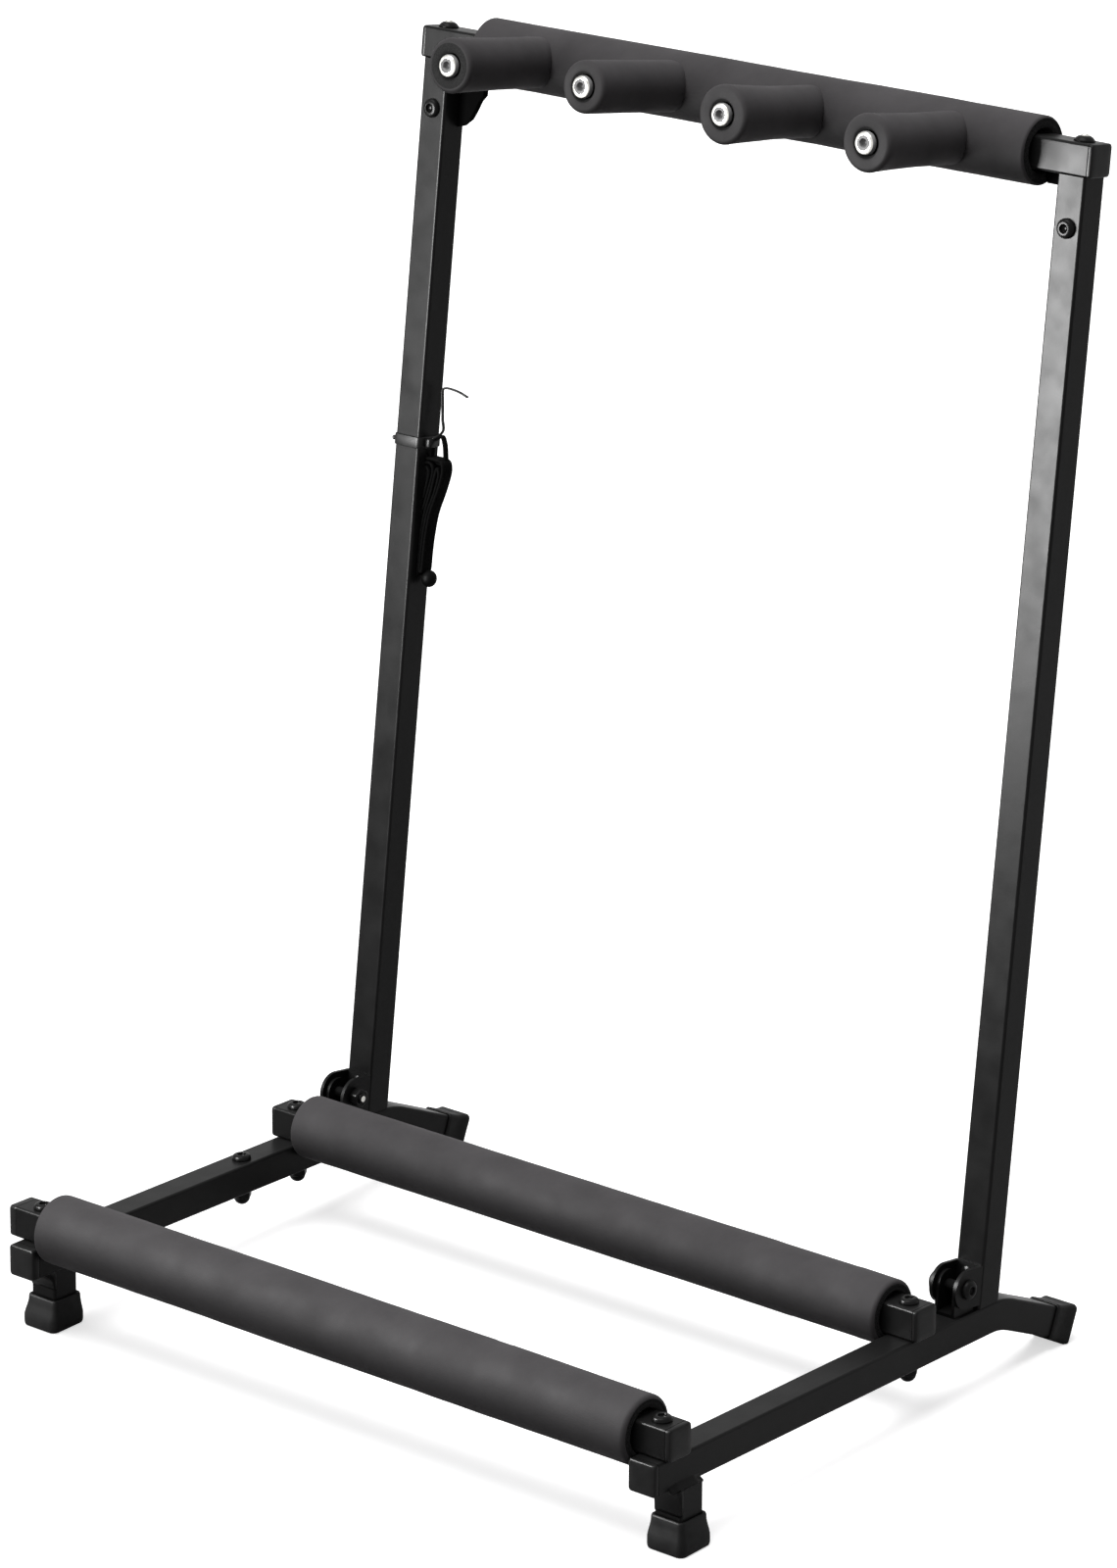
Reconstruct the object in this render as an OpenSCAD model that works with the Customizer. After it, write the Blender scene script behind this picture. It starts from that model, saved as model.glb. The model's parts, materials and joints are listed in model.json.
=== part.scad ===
// Folding rack for three guitars. A base of square tube carries two padded crossbars, and a mast
// that leans back on the base carries four padded fingers. The mast folds forward about two pins.
// The base is drawn in its own frame: y runs back from the front crossbar's axis, and z starts at
// the front feet's soles, square to the side tubes. The mast's frame starts where the uprights
// stand and leans back. The whole stand is then pitched until all four feet share the floor.

/* [Frame tube] */
// Outside width of the square tube that the frame is made of
tube = 18; // [15:0.5:20]
// Wall thickness of the frame tube
tube_wall = 1.2; // [0.8:0.1:1.8]
// Outside corner radius of the frame tube
tube_corner = 1.5; // [1:0.1:3]

/* [Base] */
// Distance between the middles of the two side tubes
frame_w = 445; // [400:5:600]
// Distance between the axes of the front and rear crossbars
bar_spacing = 207.5; // [170:2.5:240]
// Distance from the rear crossbar's axis back to the middle of the upright's foot
upright_setback = 60; // [52:1:80]
// Distance that the side tubes run ahead of the front crossbar's axis
front_overhang = 13; // [11:1:25]
// Length of the front legs below the side tubes, foot included
leg_h = 36.5; // [32:0.5:50]
// Distance from the front crossbar's axis back to the legs' axis
leg_setback = 10.5; // [9.5:0.5:30]
// Distance that the legs stand further out than the side tubes
leg_out = 3; // [0:0.5:4]
// Downward bend of the side tubes behind the uprights, in degrees
tail_angle = 23; // [20:0.5:30]
// Centreline radius of that bend
tail_radius = 45; // [40:1:100]
// Straight length of the tail behind the bend
tail_len = 54; // [40:1:60]
// Distance that the bend starts ahead of the uprights' rear faces
bend_lead = 5; // [0:0.5:6]
// Distance that the front crossbar's left end runs further out than its right end
front_bar_extra = 3.5; // [0:0.5:5]

/* [Mast] */
// Length of the uprights along their axis
upright_len = 618.5; // [500:5:700]
// Backward lean of the uprights from the side tubes' normal, in degrees
lean = 6.6; // [4:0.2:9]
// Reach of the fingers from the top bar's axis to the face of their end bolts
finger_reach = 88; // [76:1:95]
// Diameter of the steel rod inside a finger
finger_rod_d = 12; // [10:0.5:14]
// Width of the corner gussets along the top bar
gusset_w = 18; // [10:0.5:20]
// Height of the left corner gusset along its upright
gusset_h = 38; // [24:1:50]
// Height of the small lug in the right corner
corner_lug_h = 8; // [6:1:14]
// Thickness of the corner gussets
gusset_t = 4; // [3:0.5:6]

/* [Foam] */
// Outside diameter of the foam on the front crossbar
front_foam_od = 39; // [34:0.5:42]
// Outside diameter of the foam on the rear crossbar
rear_foam_od = 36.5; // [34:0.5:40]
// Outside diameter of the foam on the top bar
top_foam_od = 38; // [33:0.5:40]
// Outside diameter of the foam on the fingers
finger_foam_od = 30; // [22:0.5:32]
// Gap between a crossbar's foam and the side tube beside it
base_foam_gap = 1.5; // [1:0.5:15]
// Distance that the top bar's foam sits to the right of the middle
top_foam_shift = 3.5; // [0:0.5:4]
// Gap between the top bar's foam and the upright beside it
top_foam_gap = 20.5; // [15:0.5:30]
// Rounding of the foam's cut ends
foam_edge = 1.5; // [0.5:0.1:2.5]
// Rounding of the finger foam's tip
tip_edge = 2.5; // [2:0.5:5]

/* [Feet and plugs] */
// Wall thickness of the rubber feet around the tube
foot_wall = 1.7; // [1.2:0.1:2.5]
// Thickness of rubber between a tube's end and the outside
foot_sole = 4; // [2.5:0.5:6]
// Height of the front feet
foot_h = 14.5; // [12:0.5:20]
// Width of the front feet's sole
foot_w = 25.5; // [23:0.5:30]
// Length of the rear feet's sleeve over the tail
rear_sleeve = 21; // [14:1:26]
// Depth of the flat where a rear foot meets the floor
rear_flat = 0.8; // [0.5:0.1:1.2]
// Thickness of the end plugs' heads
plug_head = 3; // [1.5:0.5:4]
// Depth that the end plugs reach into the tubes
plug_depth = 5; // [3:0.5:6]

/* [Hinge] */
// Distance from the middle of the upright's foot forward to the hinge pin
pivot_ahead = 19.5; // [18:0.5:26]
// Height of the hinge pin above the side tube
pivot_h = 15; // [14:0.5:20]
// Thickness of the hinge's steel plates
hinge_plate = 2; // [1.5:0.1:2.5]
// Radius of the hinge ears about the pin
ear_r = 11; // [9:0.5:12]
// Radius of the base lug's cheeks about the pin
lug_r = 8; // [7:0.5:8.5]
// Radial running clearance of the hinge pin
pin_clear = 0.05; // [0.02:0.01:0.1]
// Side clearance between the lug and the ears
hinge_side_clear = 0.3; // [0.2:0.05:0.5]

/* [Fasteners] */
// Shank diameter of the bolts
bolt_d = 6; // [5:0.5:6]
// Diameter of the black bolts' domed heads
head_d = 11; // [9:0.5:12]
// Height of the black bolts' domed heads
head_h = 3; // [2:0.5:4]
// Width across the flats of the nuts
nut_af = 10; // [9:0.5:11]
// Height of the hexagon of a nut
nut_h = 5; // [4:0.5:6]
// Diameter of the bright heads on the fingers
tip_head_d = 13; // [10:0.5:14]
// Height of the bright heads on the fingers
tip_head_h = 4; // [2:0.5:5]
// Thickness of the washers under the bright heads
washer_t = 1; // [0.5:0.1:1.5]
// Distance from the top of the uprights down to their front bolts
insert_bolt_drop = 28; // [22:1:34]
// Distance from the rear crossbar's axis forward to the spare bolt in the left side tube
spare_bolt_ahead = 47; // [35:1:80]

/* [Tie and strap] */
// Height of the cable tie up the left upright
tie_u = 397; // [300:1:440]
// Width of the cable tie's band
tie_w = 2.6; // [2:0.1:4]
// Thickness of the cable tie's band
tie_t = 1.2; // [0.8:0.1:1.6]
// Length of the tie's free tail before it curls
tie_tail = 24; // [10:1:35]
// Radius of the curl at the end of the tie's tail
tie_curl_r = 8; // [5:0.5:10]
// Length of the storage strap that hangs from the tie
strap_len = 72; // [50:1:90]
// Width of the folded top of the storage strap
strap_w = 12; // [9:0.5:14]
// Width of the storage strap's tail
strap_tail_w = 7.5; // [5:0.5:8]
// Thickness of the folded storage strap
strap_t = 8; // [5:0.5:9]
// Radius of the bead at the storage strap's end
bead_r = 4; // [3:0.25:4.5]

/* [Hidden] */
$fn = 48;

// Clearance of a bolt in its hole, of a plug in its tube and of foam round a tube's corners
hole_clear = 0.2;
plug_clear = 0.15;
foam_clear = 0.3;
// Step and overlap between the side tube's bend and its straight tail
tail_ease = 0.05;
tail_sink = 1;
// The same step where the cable tie's tail starts to curl
tie_ease = 0.1;

half_w = frame_w / 2;
side_mid = leg_h + tube / 2;
side_top = leg_h + tube;
bar_z = side_top + tube / 2;
foot_y = bar_spacing + upright_setback;
tube_inner = tube - 2 * tube_wall;
inner_corner = max(0.3, tube_corner - tube_wall);
// The storage strap starts at the underside of the cable tie's head
strap_top = tie_u - tie_w / 2;
// Distance from a tube's axis to its rounded corner, and the foam's bore round it
corner_reach = (tube / 2 - tube_corner) * sqrt(2) + tube_corner;
foam_bore_r = corner_reach + foam_clear;

// The bend starts under the upright, ahead of its rear face. The tail's end is where the straight part stops
bend_y = foot_y + tube / 2 / cos(lean) - bend_lead;
tail_y = bend_y + tail_radius * sin(tail_angle);
tail_z = side_mid - tail_radius * (1 - cos(tail_angle));
sleeve_w = tube + 2 * foot_wall;
tail_reach = tail_len + foot_sole;
// Lowest corner of the rear foot in the base's frame, and the pitch that puts it on the floor
heel_y = tail_y + tail_reach * cos(tail_angle) - sleeve_w / 2 * sin(tail_angle);
heel_z = tail_z - tail_reach * sin(tail_angle) - sleeve_w / 2 * cos(tail_angle);
pitch = atan2(heel_z + rear_flat, heel_y - leg_setback);

// Top bar's axis above the upright's foot, in the mast's frame
bar_u = upright_len + tube / 2;
base_foam_len = frame_w - tube - 2 * base_foam_gap;
top_foam_len = frame_w - tube - 2 * top_foam_gap;
finger_pitch = top_foam_len / 4;
// The corner pieces stop short of the foam, which leaves more room on the left
gusset_reach = min(gusset_w, top_foam_gap + top_foam_shift - 1);
corner_lug_reach = min(gusset_w, top_foam_gap - top_foam_shift - 1);
foam_tip = finger_reach - tip_head_h - washer_t;

// Hinge pin in the mast's frame
pivot_v = -pivot_ahead * cos(lean) - pivot_h * sin(lean);
pivot_u = -pivot_ahead * sin(lean) + pivot_h * cos(lean);
lug_w = tube - 2 * hinge_plate - 2 * hinge_side_clear;
// The plugs stop short of the bolts, and of the nut behind the side tube's front plug
plug_reach = min(plug_depth, tube / 2 - bolt_d / 2 - plug_clear, front_overhang - nut_af / 2 / cos(30) - plug_clear);

// Depth of the finished stand, which sets its middle
top_y = foot_y + bar_u * sin(lean) - leg_setback;
top_z = side_top + bar_u * cos(lean);
back_y = top_y * cos(pitch) + top_z * sin(pitch) + top_foam_od / 2;
front_y = -leg_setback * cos(pitch) + bar_z * sin(pitch) - front_foam_od / 2;
middle_y = (front_y + back_y) / 2;

// Frames

// Stands the base's frame on the floor, with the origin under the middle of the stand
module on_floor() {
  translate([0, -middle_y, 0]) rotate([-pitch, 0, 0]) translate([0, -leg_setback, 0]) children();
}

// Mast's frame: x across, y square to the uprights and z along them
module mast_frame() {
  translate([0, foot_y, side_top]) rotate([-lean, 0, 0]) children();
}

// Frame of the tail's straight part, with z along it from the end of the bend
module tail_frame() {
  translate([0, tail_y, tail_z]) rotate([-90 - tail_angle, 0, 0]) children();
}

// Turns what is drawn along z so that it runs along x
module along_x() {
  rotate([90, 0, 90]) children();
}

// Keeps what lies above the floor, which slopes in the base's frame
module above_floor(reach) {
  difference() {
    children();
    translate([0, leg_setback, 0]) rotate([pitch, 0, 0]) translate([-half_w - reach, -reach, -reach])
      cube([2 * (half_w + reach), 2 * (foot_y + reach), reach]);
  }
}

// Shared shapes

// Square with rounded corners, centred
module rounded_square(w, r) {
  square([w - 2 * r, w], center = true);
  square([w, w - 2 * r], center = true);
  for (sx = [-1, 1], sy = [-1, 1]) translate([sx * (w / 2 - r), sy * (w / 2 - r)]) circle(r);
}

module tube_section() {
  difference() {
    rounded_square(tube, tube_corner);
    rounded_square(tube_inner, inner_corner);
  }
}

// Square tube along z from 0
module square_tube(len) {
  linear_extrude(len) tube_section();
}

// Flat-backed dome along z from 0, with a rim
module dome(d, h) {
  rim = h / 3;
  cap = h - rim;
  ball = (d * d / 4 + cap * cap) / (2 * cap);
  cylinder(d = d, h = rim);
  intersection() {
    translate([0, 0, h - ball]) sphere(ball);
    translate([0, 0, rim]) cylinder(d = d, h = cap);
  }
}

// Domed bolt with a hexagon socket: the head stands on z = 0 and the shank hangs below it
module dome_bolt(d, h, shank) {
  difference() {
    dome(d, h);
    translate([0, 0, h / 2]) cylinder(d = bolt_d * 0.75, h = h, $fn = 6);
  }
  translate([0, 0, -shank]) cylinder(d = bolt_d, h = shank);
}

module hex_nut(h) {
  difference() {
    cylinder(d = nut_af / cos(30), h = h, $fn = 6);
    translate([0, 0, -1]) cylinder(r = bolt_d / 2 + pin_clear, h = h + 2);
  }
}

// Nut with a closed dome, hanging below z = 0
module acorn_nut() {
  mirror([0, 0, 1]) {
    hex_nut(nut_h);
    translate([0, 0, nut_h]) difference() {
      sphere(nut_af / 2);
      translate([0, 0, -nut_af]) cube(2 * nut_af, center = true);
      translate([0, 0, -1]) cylinder(r = bolt_d / 2 + pin_clear, h = nut_af / 4 + 1);
    }
  }
}

// End plug for a square tube: the head stands on z = 0 and the ribbed shank hangs below it
module end_plug() {
  edge = 1;
  shank_w = tube_inner - 2 * plug_clear;
  linear_extrude(plug_head - edge) rounded_square(tube, tube_corner);
  translate([0, 0, plug_head - edge]) linear_extrude(edge) rounded_square(tube - 2 * edge, tube_corner);
  translate([0, 0, -plug_reach]) difference() {
    linear_extrude(plug_reach) rounded_square(shank_w, inner_corner);
    translate([0, 0, -1]) linear_extrude(plug_reach) rounded_square(shank_w - 4, inner_corner);
  }
}

// Foam sleeve along z, centred, with its cut ends rounded
module foam_sleeve(len, od, bore_r, edge) {
  rotate_extrude($fn = 72) difference() {
    union() {
      translate([bore_r, -len / 2 + edge]) square([od / 2 - bore_r, len - 2 * edge]);
      translate([bore_r, -len / 2]) square([od / 2 - bore_r - edge, len]);
      for (s = [-1, 1]) translate([od / 2 - edge, s * (len / 2 - edge)]) circle(edge);
    }
    translate([-od, -len]) square([od + bore_r, 2 * len]);
  }
}

// Base

// Solid bar of the given section along a side tube's straight run, bend and tail. The tail is
// thinner by a hair and starts inside the bend, so that no two faces of the parts coincide
module bent_bar(w, r, spare) {
  translate([0, bend_y, side_mid]) rotate([90, 0, 0]) linear_extrude(bend_y + front_overhang + spare)
    rounded_square(w, r);
  translate([0, bend_y, side_mid - tail_radius]) rotate([0, -90, 0])
    rotate_extrude(angle = tail_angle, $fn = 120) translate([tail_radius, 0]) rounded_square(w, r);
  tail_frame() translate([0, 0, -tail_sink]) linear_extrude(tail_len + tail_sink + spare)
    rounded_square(w - 2 * tail_ease, r - tail_ease);
}

module side_tube(side) {
  color([0.05, 0.05, 0.055]) translate([side * half_w, 0, 0]) difference() {
    bent_bar(tube, tube_corner, 0);
    bent_bar(tube_inner, inner_corner, 1);
    // Crossbar bolts: the front one ends in a nut inside the tube, the rear one goes right through
    translate([0, 0, side_mid]) cylinder(r = bolt_d / 2 + hole_clear, h = tube);
    translate([0, bar_spacing, leg_h - 1]) cylinder(r = bolt_d / 2 + hole_clear, h = tube + 2);
    if (side < 0) translate([0, bar_spacing - spare_bolt_ahead, leg_h - 1])
      cylinder(r = bolt_d / 2 + hole_clear, h = tube + 2);
  }
}

module side_plug(side) {
  color([0.03, 0.03, 0.03]) translate([side * half_w, -front_overhang, side_mid]) rotate([90, 0, 0]) end_plug();
}

module front_leg(side) {
  color([0.05, 0.05, 0.055]) translate([side * (half_w + leg_out), leg_setback, foot_sole])
    square_tube(leg_h - foot_sole);
}

// Rubber foot: a sleeve round the leg that flares to a wider sole, cut level with the floor
module front_foot(side) {
  flare_z = foot_h * 0.62;
  top_corner = tube_corner + foot_wall;
  sole_corner = foot_w * 0.27;
  spare = foot_w / 2 * tan(pitch) + 1;
  slab = 0.2;
  color([0.035, 0.035, 0.035]) above_floor(foot_w) translate([side * (half_w + leg_out), leg_setback, 0]) difference() {
    union() {
      translate([0, 0, -spare]) linear_extrude(flare_z - foot_h * 0.1 + spare)
        rounded_square(foot_w, sole_corner);
      hull() {
        translate([0, 0, flare_z - foot_h * 0.1 - slab]) linear_extrude(slab)
          rounded_square(foot_w, sole_corner, $fn = 32);
        translate([0, 0, foot_h - slab]) linear_extrude(slab)
          rounded_square(sleeve_w, top_corner, $fn = 32);
      }
    }
    translate([0, 0, foot_sole]) linear_extrude(foot_h) rounded_square(tube + 2 * plug_clear, tube_corner);
  }
}

// Rubber cap over the tail's end, with a rim at its mouth and a flat where it stands
module rear_foot(side) {
  mouth = 3;
  rim = 0.6;
  color([0.035, 0.035, 0.035]) above_floor(sleeve_w) translate([side * half_w, 0, 0]) tail_frame()
    translate([0, 0, tail_len - rear_sleeve]) difference() {
      union() {
        linear_extrude(rear_sleeve + foot_sole) rounded_square(sleeve_w, tube_corner + foot_wall);
        linear_extrude(mouth) rounded_square(sleeve_w + 2 * rim, tube_corner + foot_wall + rim);
      }
      translate([0, 0, -1]) linear_extrude(rear_sleeve + 1)
        rounded_square(tube + 2 * plug_clear, tube_corner);
    }
}

// Crossbar on top of the side tubes, with its left end longer by the given amount
module crossbar(y, extra) {
  color([0.05, 0.05, 0.055]) translate([0, y, bar_z]) difference() {
    translate([-half_w - tube / 2 - extra, 0, 0]) along_x() square_tube(frame_w + tube + extra);
    for (s = [-1, 1]) translate([s * half_w, 0, -tube]) cylinder(r = bolt_d / 2 + hole_clear, h = 2 * tube);
  }
}

module bar_plug(side, y, extra) {
  color([0.03, 0.03, 0.03]) translate([side * (half_w + tube / 2 + extra), y, bar_z]) rotate([90, 0, side * 90])
    end_plug();
}

module base_foam(y, od) {
  color([0.24, 0.23, 0.24]) translate([0, y, bar_z]) along_x() foam_sleeve(base_foam_len, od, foam_bore_r, foam_edge);
}

// Steel saddle on the side tube with two cheeks that hold the hinge pin
module hinge_lug(side) {
  toe = 1;
  color([0.06, 0.06, 0.065]) translate([side * half_w, foot_y - pivot_ahead, side_top]) difference() {
    translate([-lug_w / 2, 0, 0]) along_x() linear_extrude(lug_w) union() {
      translate([0, pivot_h]) circle(lug_r);
      polygon([[-lug_r - toe, 0], [lug_r, 0], [lug_r, pivot_h], [-lug_r, pivot_h], [-lug_r - toe, hinge_plate]]);
    }
    translate([-lug_w / 2 + hinge_plate, -2 * lug_r, hinge_plate])
      cube([lug_w - 2 * hinge_plate, 4 * lug_r, pivot_h + lug_r]);
    translate([-lug_w, 0, pivot_h]) along_x() cylinder(r = bolt_d / 2 + pin_clear, h = 2 * lug_w);
  }
}

// Front bolts reach a nut inside the side tube, rear bolts reach an acorn nut below it
module crossbar_bolts() {
  front_shank = tube + tube_wall + nut_h + 1;
  rear_shank = 2 * tube + nut_h + 1;
  color([0.07, 0.07, 0.07]) for (s = [-1, 1]) translate([s * half_w, 0, side_top + tube]) {
    dome_bolt(head_d, head_h, front_shank);
    translate([0, bar_spacing, 0]) dome_bolt(head_d, head_h, rear_shank);
  }
}

module weld_nuts() {
  color([0.35, 0.35, 0.36]) for (s = [-1, 1])
    translate([s * half_w, 0, side_top - tube_wall - nut_h]) hex_nut(nut_h);
}

module acorn_nuts() {
  color([0.07, 0.07, 0.07]) for (s = [-1, 1]) translate([s * half_w, bar_spacing, leg_h]) acorn_nut();
}

// Spare bolt through the left side tube, with its own acorn nut
module spare_bolt() {
  color([0.07, 0.07, 0.07]) translate([-half_w, bar_spacing - spare_bolt_ahead, 0]) {
    translate([0, 0, side_top]) dome_bolt(head_d, head_h, tube + nut_h + 1);
    translate([0, 0, leg_h]) acorn_nut();
  }
}

// Mast

// Upright, cut level with the side tube that it stands on
module upright(side) {
  color([0.06, 0.06, 0.065]) mast_frame() translate([side * half_w, 0, 0]) difference() {
    translate([0, 0, -tube / 2]) square_tube(upright_len + tube / 2);
    rotate([lean, 0, 0]) translate([-tube, -2 * tube, -2 * tube]) cube([2 * tube, 4 * tube, 2 * tube]);
    // Front bolt of the insert, and the rivets of the hinge bracket
    translate([0, 0, upright_len - insert_bolt_drop]) rotate([90, 0, 0])
      cylinder(r = bolt_d / 2 + hole_clear, h = tube);
    for (u = rivet_us) translate([0, 0, u]) rotate([90, 0, 0]) cylinder(r = rivet_r + pin_clear, h = tube);
  }
}

// Rivets that hold a hinge bracket's web to the upright
rivet_r = 2;
rivet_us = [pivot_u - ear_r / 2, pivot_u + ear_r / 2];

// U-shaped bracket: a web on the upright's front face and two ears round the hinge pin
module hinge_bracket(side) {
  web_v = -tube / 2 - hinge_plate;
  color([0.05, 0.05, 0.055]) mast_frame() translate([side * half_w, 0, 0]) difference() {
    translate([-tube / 2, 0, 0]) along_x() linear_extrude(tube) union() {
      translate([pivot_v, pivot_u]) circle(ear_r, $fn = 96);
      translate([pivot_v, pivot_u - ear_r]) square([web_v + hinge_plate - pivot_v, 2 * ear_r]);
    }
    translate([-tube / 2 + hinge_plate, pivot_v - 2 * ear_r, pivot_u - 2 * ear_r])
      cube([tube - 2 * hinge_plate, web_v - pivot_v + 2 * ear_r, 4 * ear_r]);
    translate([-tube, pivot_v, pivot_u]) along_x() cylinder(r = bolt_d / 2 + pin_clear, h = 2 * tube);
    for (u = rivet_us) translate([0, 0, u]) rotate([90, 0, 0]) cylinder(r = rivet_r + pin_clear, h = tube);
  }
}

// Hinge pin: a bolt with its head outside and its nut inside the stand
module hinge_pin(side) {
  color([0.1, 0.1, 0.1]) mast_frame() translate([side * (half_w + tube / 2), pivot_v, pivot_u])
    rotate([0, side * 90, 0]) dome_bolt(head_d, head_h, tube + nut_h);
}

module hinge_nuts() {
  color([0.1, 0.1, 0.1]) for (s = [-1, 1]) mast_frame()
    translate([s * (half_w - tube / 2), pivot_v, pivot_u]) rotate([0, -s * 90, 0]) hex_nut(nut_h);
}

module bracket_rivets() {
  rivet_head = 1.5;
  web_face = tube / 2 + hinge_plate;
  color([0.12, 0.12, 0.12]) for (s = [-1, 1], u = rivet_us)
    mast_frame() translate([s * half_w, 0, u]) rotate([90, 0, 0]) {
      translate([0, 0, web_face]) dome(3.6 * rivet_r, rivet_head);
      translate([0, 0, tube / 2 - tube_wall]) cylinder(r = rivet_r, h = tube_wall + hinge_plate);
    }
}

module top_bar() {
  color([0.06, 0.06, 0.065]) mast_frame() translate([0, 0, bar_u]) difference() {
    translate([-half_w - tube / 2, 0, 0]) along_x() square_tube(frame_w + tube);
    for (s = [-1, 1]) translate([s * half_w, 0, -tube]) cylinder(r = bolt_d / 2 + hole_clear, h = 2 * tube);
  }
}

module top_plug(side) {
  color([0.03, 0.03, 0.03]) mast_frame() translate([side * (half_w + tube / 2), 0, bar_u])
    rotate([90, 0, side * 90]) end_plug();
}

// Square block inside an upright's top that both of its bolts screw into
module top_insert(side) {
  block = insert_bolt_drop + 2 * bolt_d;
  color([0.04, 0.04, 0.04]) mast_frame() translate([side * half_w, 0, upright_len - block]) difference() {
    linear_extrude(block) rounded_square(tube_inner - 2 * plug_clear, inner_corner);
    translate([0, 0, block - insert_bolt_drop]) rotate([90, 0, 0])
      cylinder(r = bolt_d / 2 + pin_clear, h = tube);
    translate([0, 0, block - bolt_d * 2]) cylinder(r = bolt_d / 2 + pin_clear, h = 3 * bolt_d);
  }
}

// Black bolts through the uprights' front faces into the inserts
module insert_bolts() {
  color([0.07, 0.07, 0.07]) for (s = [-1, 1]) mast_frame()
    translate([s * half_w, -tube / 2, upright_len - insert_bolt_drop]) rotate([90, 0, 0])
      dome_bolt(head_d, head_h, tube / 2 - tube_wall);
}

// Bright bolts down through the top bar into the inserts
module top_bolts() {
  color([0.75, 0.75, 0.76]) for (s = [-1, 1]) mast_frame() translate([s * half_w, 0, bar_u + tube / 2])
    dome_bolt(0.6 * head_d + 2, head_h, tube + 2 * bolt_d - 1);
}

// Frame of a corner piece between an upright and the top bar, near their rear faces. The outline is
// drawn with x away from the upright and y up
module corner_frame(side) {
  inset = 2;
  mast_frame() translate([side * (half_w - tube / 2), tube / 2 - inset, upright_len]) rotate([90, 0, 0])
    linear_extrude(gusset_t) scale([-side, 1]) children();
}

// Tall web plate in the left corner
module corner_gusset_left() {
  w = gusset_reach;
  h = gusset_h;
  color([0.04, 0.04, 0.04]) corner_frame(-1)
    polygon([[0, 0], [w, 0], [w, -0.47 * h], [0.82 * w, -0.57 * h], [0.68 * w, -0.71 * h],
      [0.5 * w, -0.86 * h], [0.2 * w, -0.975 * h], [0, -h]]);
}

// Small lug in the right corner
module corner_gusset_right() {
  w = corner_lug_reach;
  h = corner_lug_h;
  color([0.04, 0.04, 0.04]) corner_frame(1) polygon([[0, 0], [w, 0], [w, -0.7 * h], [0.9 * w, -h], [0, -h]]);
}

module top_foam() {
  color([0.24, 0.23, 0.24]) mast_frame() translate([0, 0, bar_u]) difference() {
    translate([top_foam_shift, 0, 0]) along_x() foam_sleeve(top_foam_len, top_foam_od, foam_bore_r, foam_edge);
    for (i = [0:3]) translate([finger_x(i), 0, 0]) rotate([90, 0, 0])
      cylinder(d = finger_rod_d + 2 * foam_clear, h = top_foam_od);
  }
}

function finger_x(i) = (i - 1.5) * finger_pitch;

// Frame of one finger: z runs forward from the top bar's axis
module finger_frame(i) {
  mast_frame() translate([finger_x(i), 0, bar_u]) rotate([90, 0, 0]) children();
}

// Steel rod welded to the top bar, drilled and tapped at its tip
module finger_rod(i) {
  rod_len = foam_tip - tube / 2;
  hole = 3 * bolt_d;
  color([0.3, 0.3, 0.31]) finger_frame(i) translate([0, 0, tube / 2]) difference() {
    cylinder(d = finger_rod_d, h = rod_len);
    translate([0, 0, rod_len - hole]) cylinder(r = bolt_d / 2 + pin_clear, h = hole + 1);
  }
}

// Finger foam: saddled on the top bar's foam at its root, and rounded at its tip
module finger_foam(i) {
  bore_r = finger_rod_d / 2 + foam_clear;
  color([0.22, 0.21, 0.22]) finger_frame(i) difference() {
    rotate_extrude($fn = 72) difference() {
      union() {
        square([finger_foam_od / 2, foam_tip - tip_edge]);
        square([finger_foam_od / 2 - tip_edge, foam_tip]);
        translate([finger_foam_od / 2 - tip_edge, foam_tip - tip_edge]) circle(tip_edge);
      }
      translate([-1, -1]) square([bore_r + 1, foam_tip + 2]);
    }
    rotate([0, 90, 0]) cylinder(d = top_foam_od + 2 * foam_clear, h = 2 * finger_foam_od, center = true, $fn = 72);
  }
}

module finger_washers() {
  color([0.6, 0.6, 0.61]) for (i = [0:3]) finger_frame(i) translate([0, 0, foam_tip]) difference() {
    cylinder(d = tip_head_d + 1.5, h = washer_t);
    translate([0, 0, -1]) cylinder(r = bolt_d / 2 + hole_clear, h = washer_t + 2);
  }
}

module finger_bolts() {
  color([0.8, 0.8, 0.81]) for (i = [0:3]) finger_frame(i) translate([0, 0, foam_tip + washer_t])
    dome_bolt(tip_head_d, tip_head_h, washer_t + 2 * bolt_d);
}

// Cable tie round the left upright: band, head and a free tail that curls over
module cable_tie() {
  band_w = tube + 2 * plug_clear;
  inner_x = band_w / 2 + tie_t;
  head = 2 * tie_w;
  color([0.05, 0.05, 0.05]) mast_frame() translate([-half_w, 0, tie_u]) {
    linear_extrude(tie_w) difference() {
      rounded_square(band_w + 2 * tie_t, tube_corner + tie_t);
      rounded_square(band_w, tube_corner);
    }
    translate([inner_x - tie_t / 2, -head / 2, -head / 4]) cube([tie_w, head, head]);
    translate([inner_x, -tie_w / 2, head / 2]) cube([tie_t, tie_w, tie_tail]);
    translate([inner_x + tie_curl_r, 0, head / 2 + tie_tail]) rotate([90, 0, 0])
      translate([0, 0, tie_ease - tie_w / 2]) rotate([0, 0, 60]) rotate_extrude(angle = 126, $fn = 72)
        translate([tie_curl_r - tie_t + tie_ease, 0]) square([tie_t - 2 * tie_ease, tie_w - 2 * tie_ease]);
  }
}

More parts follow.
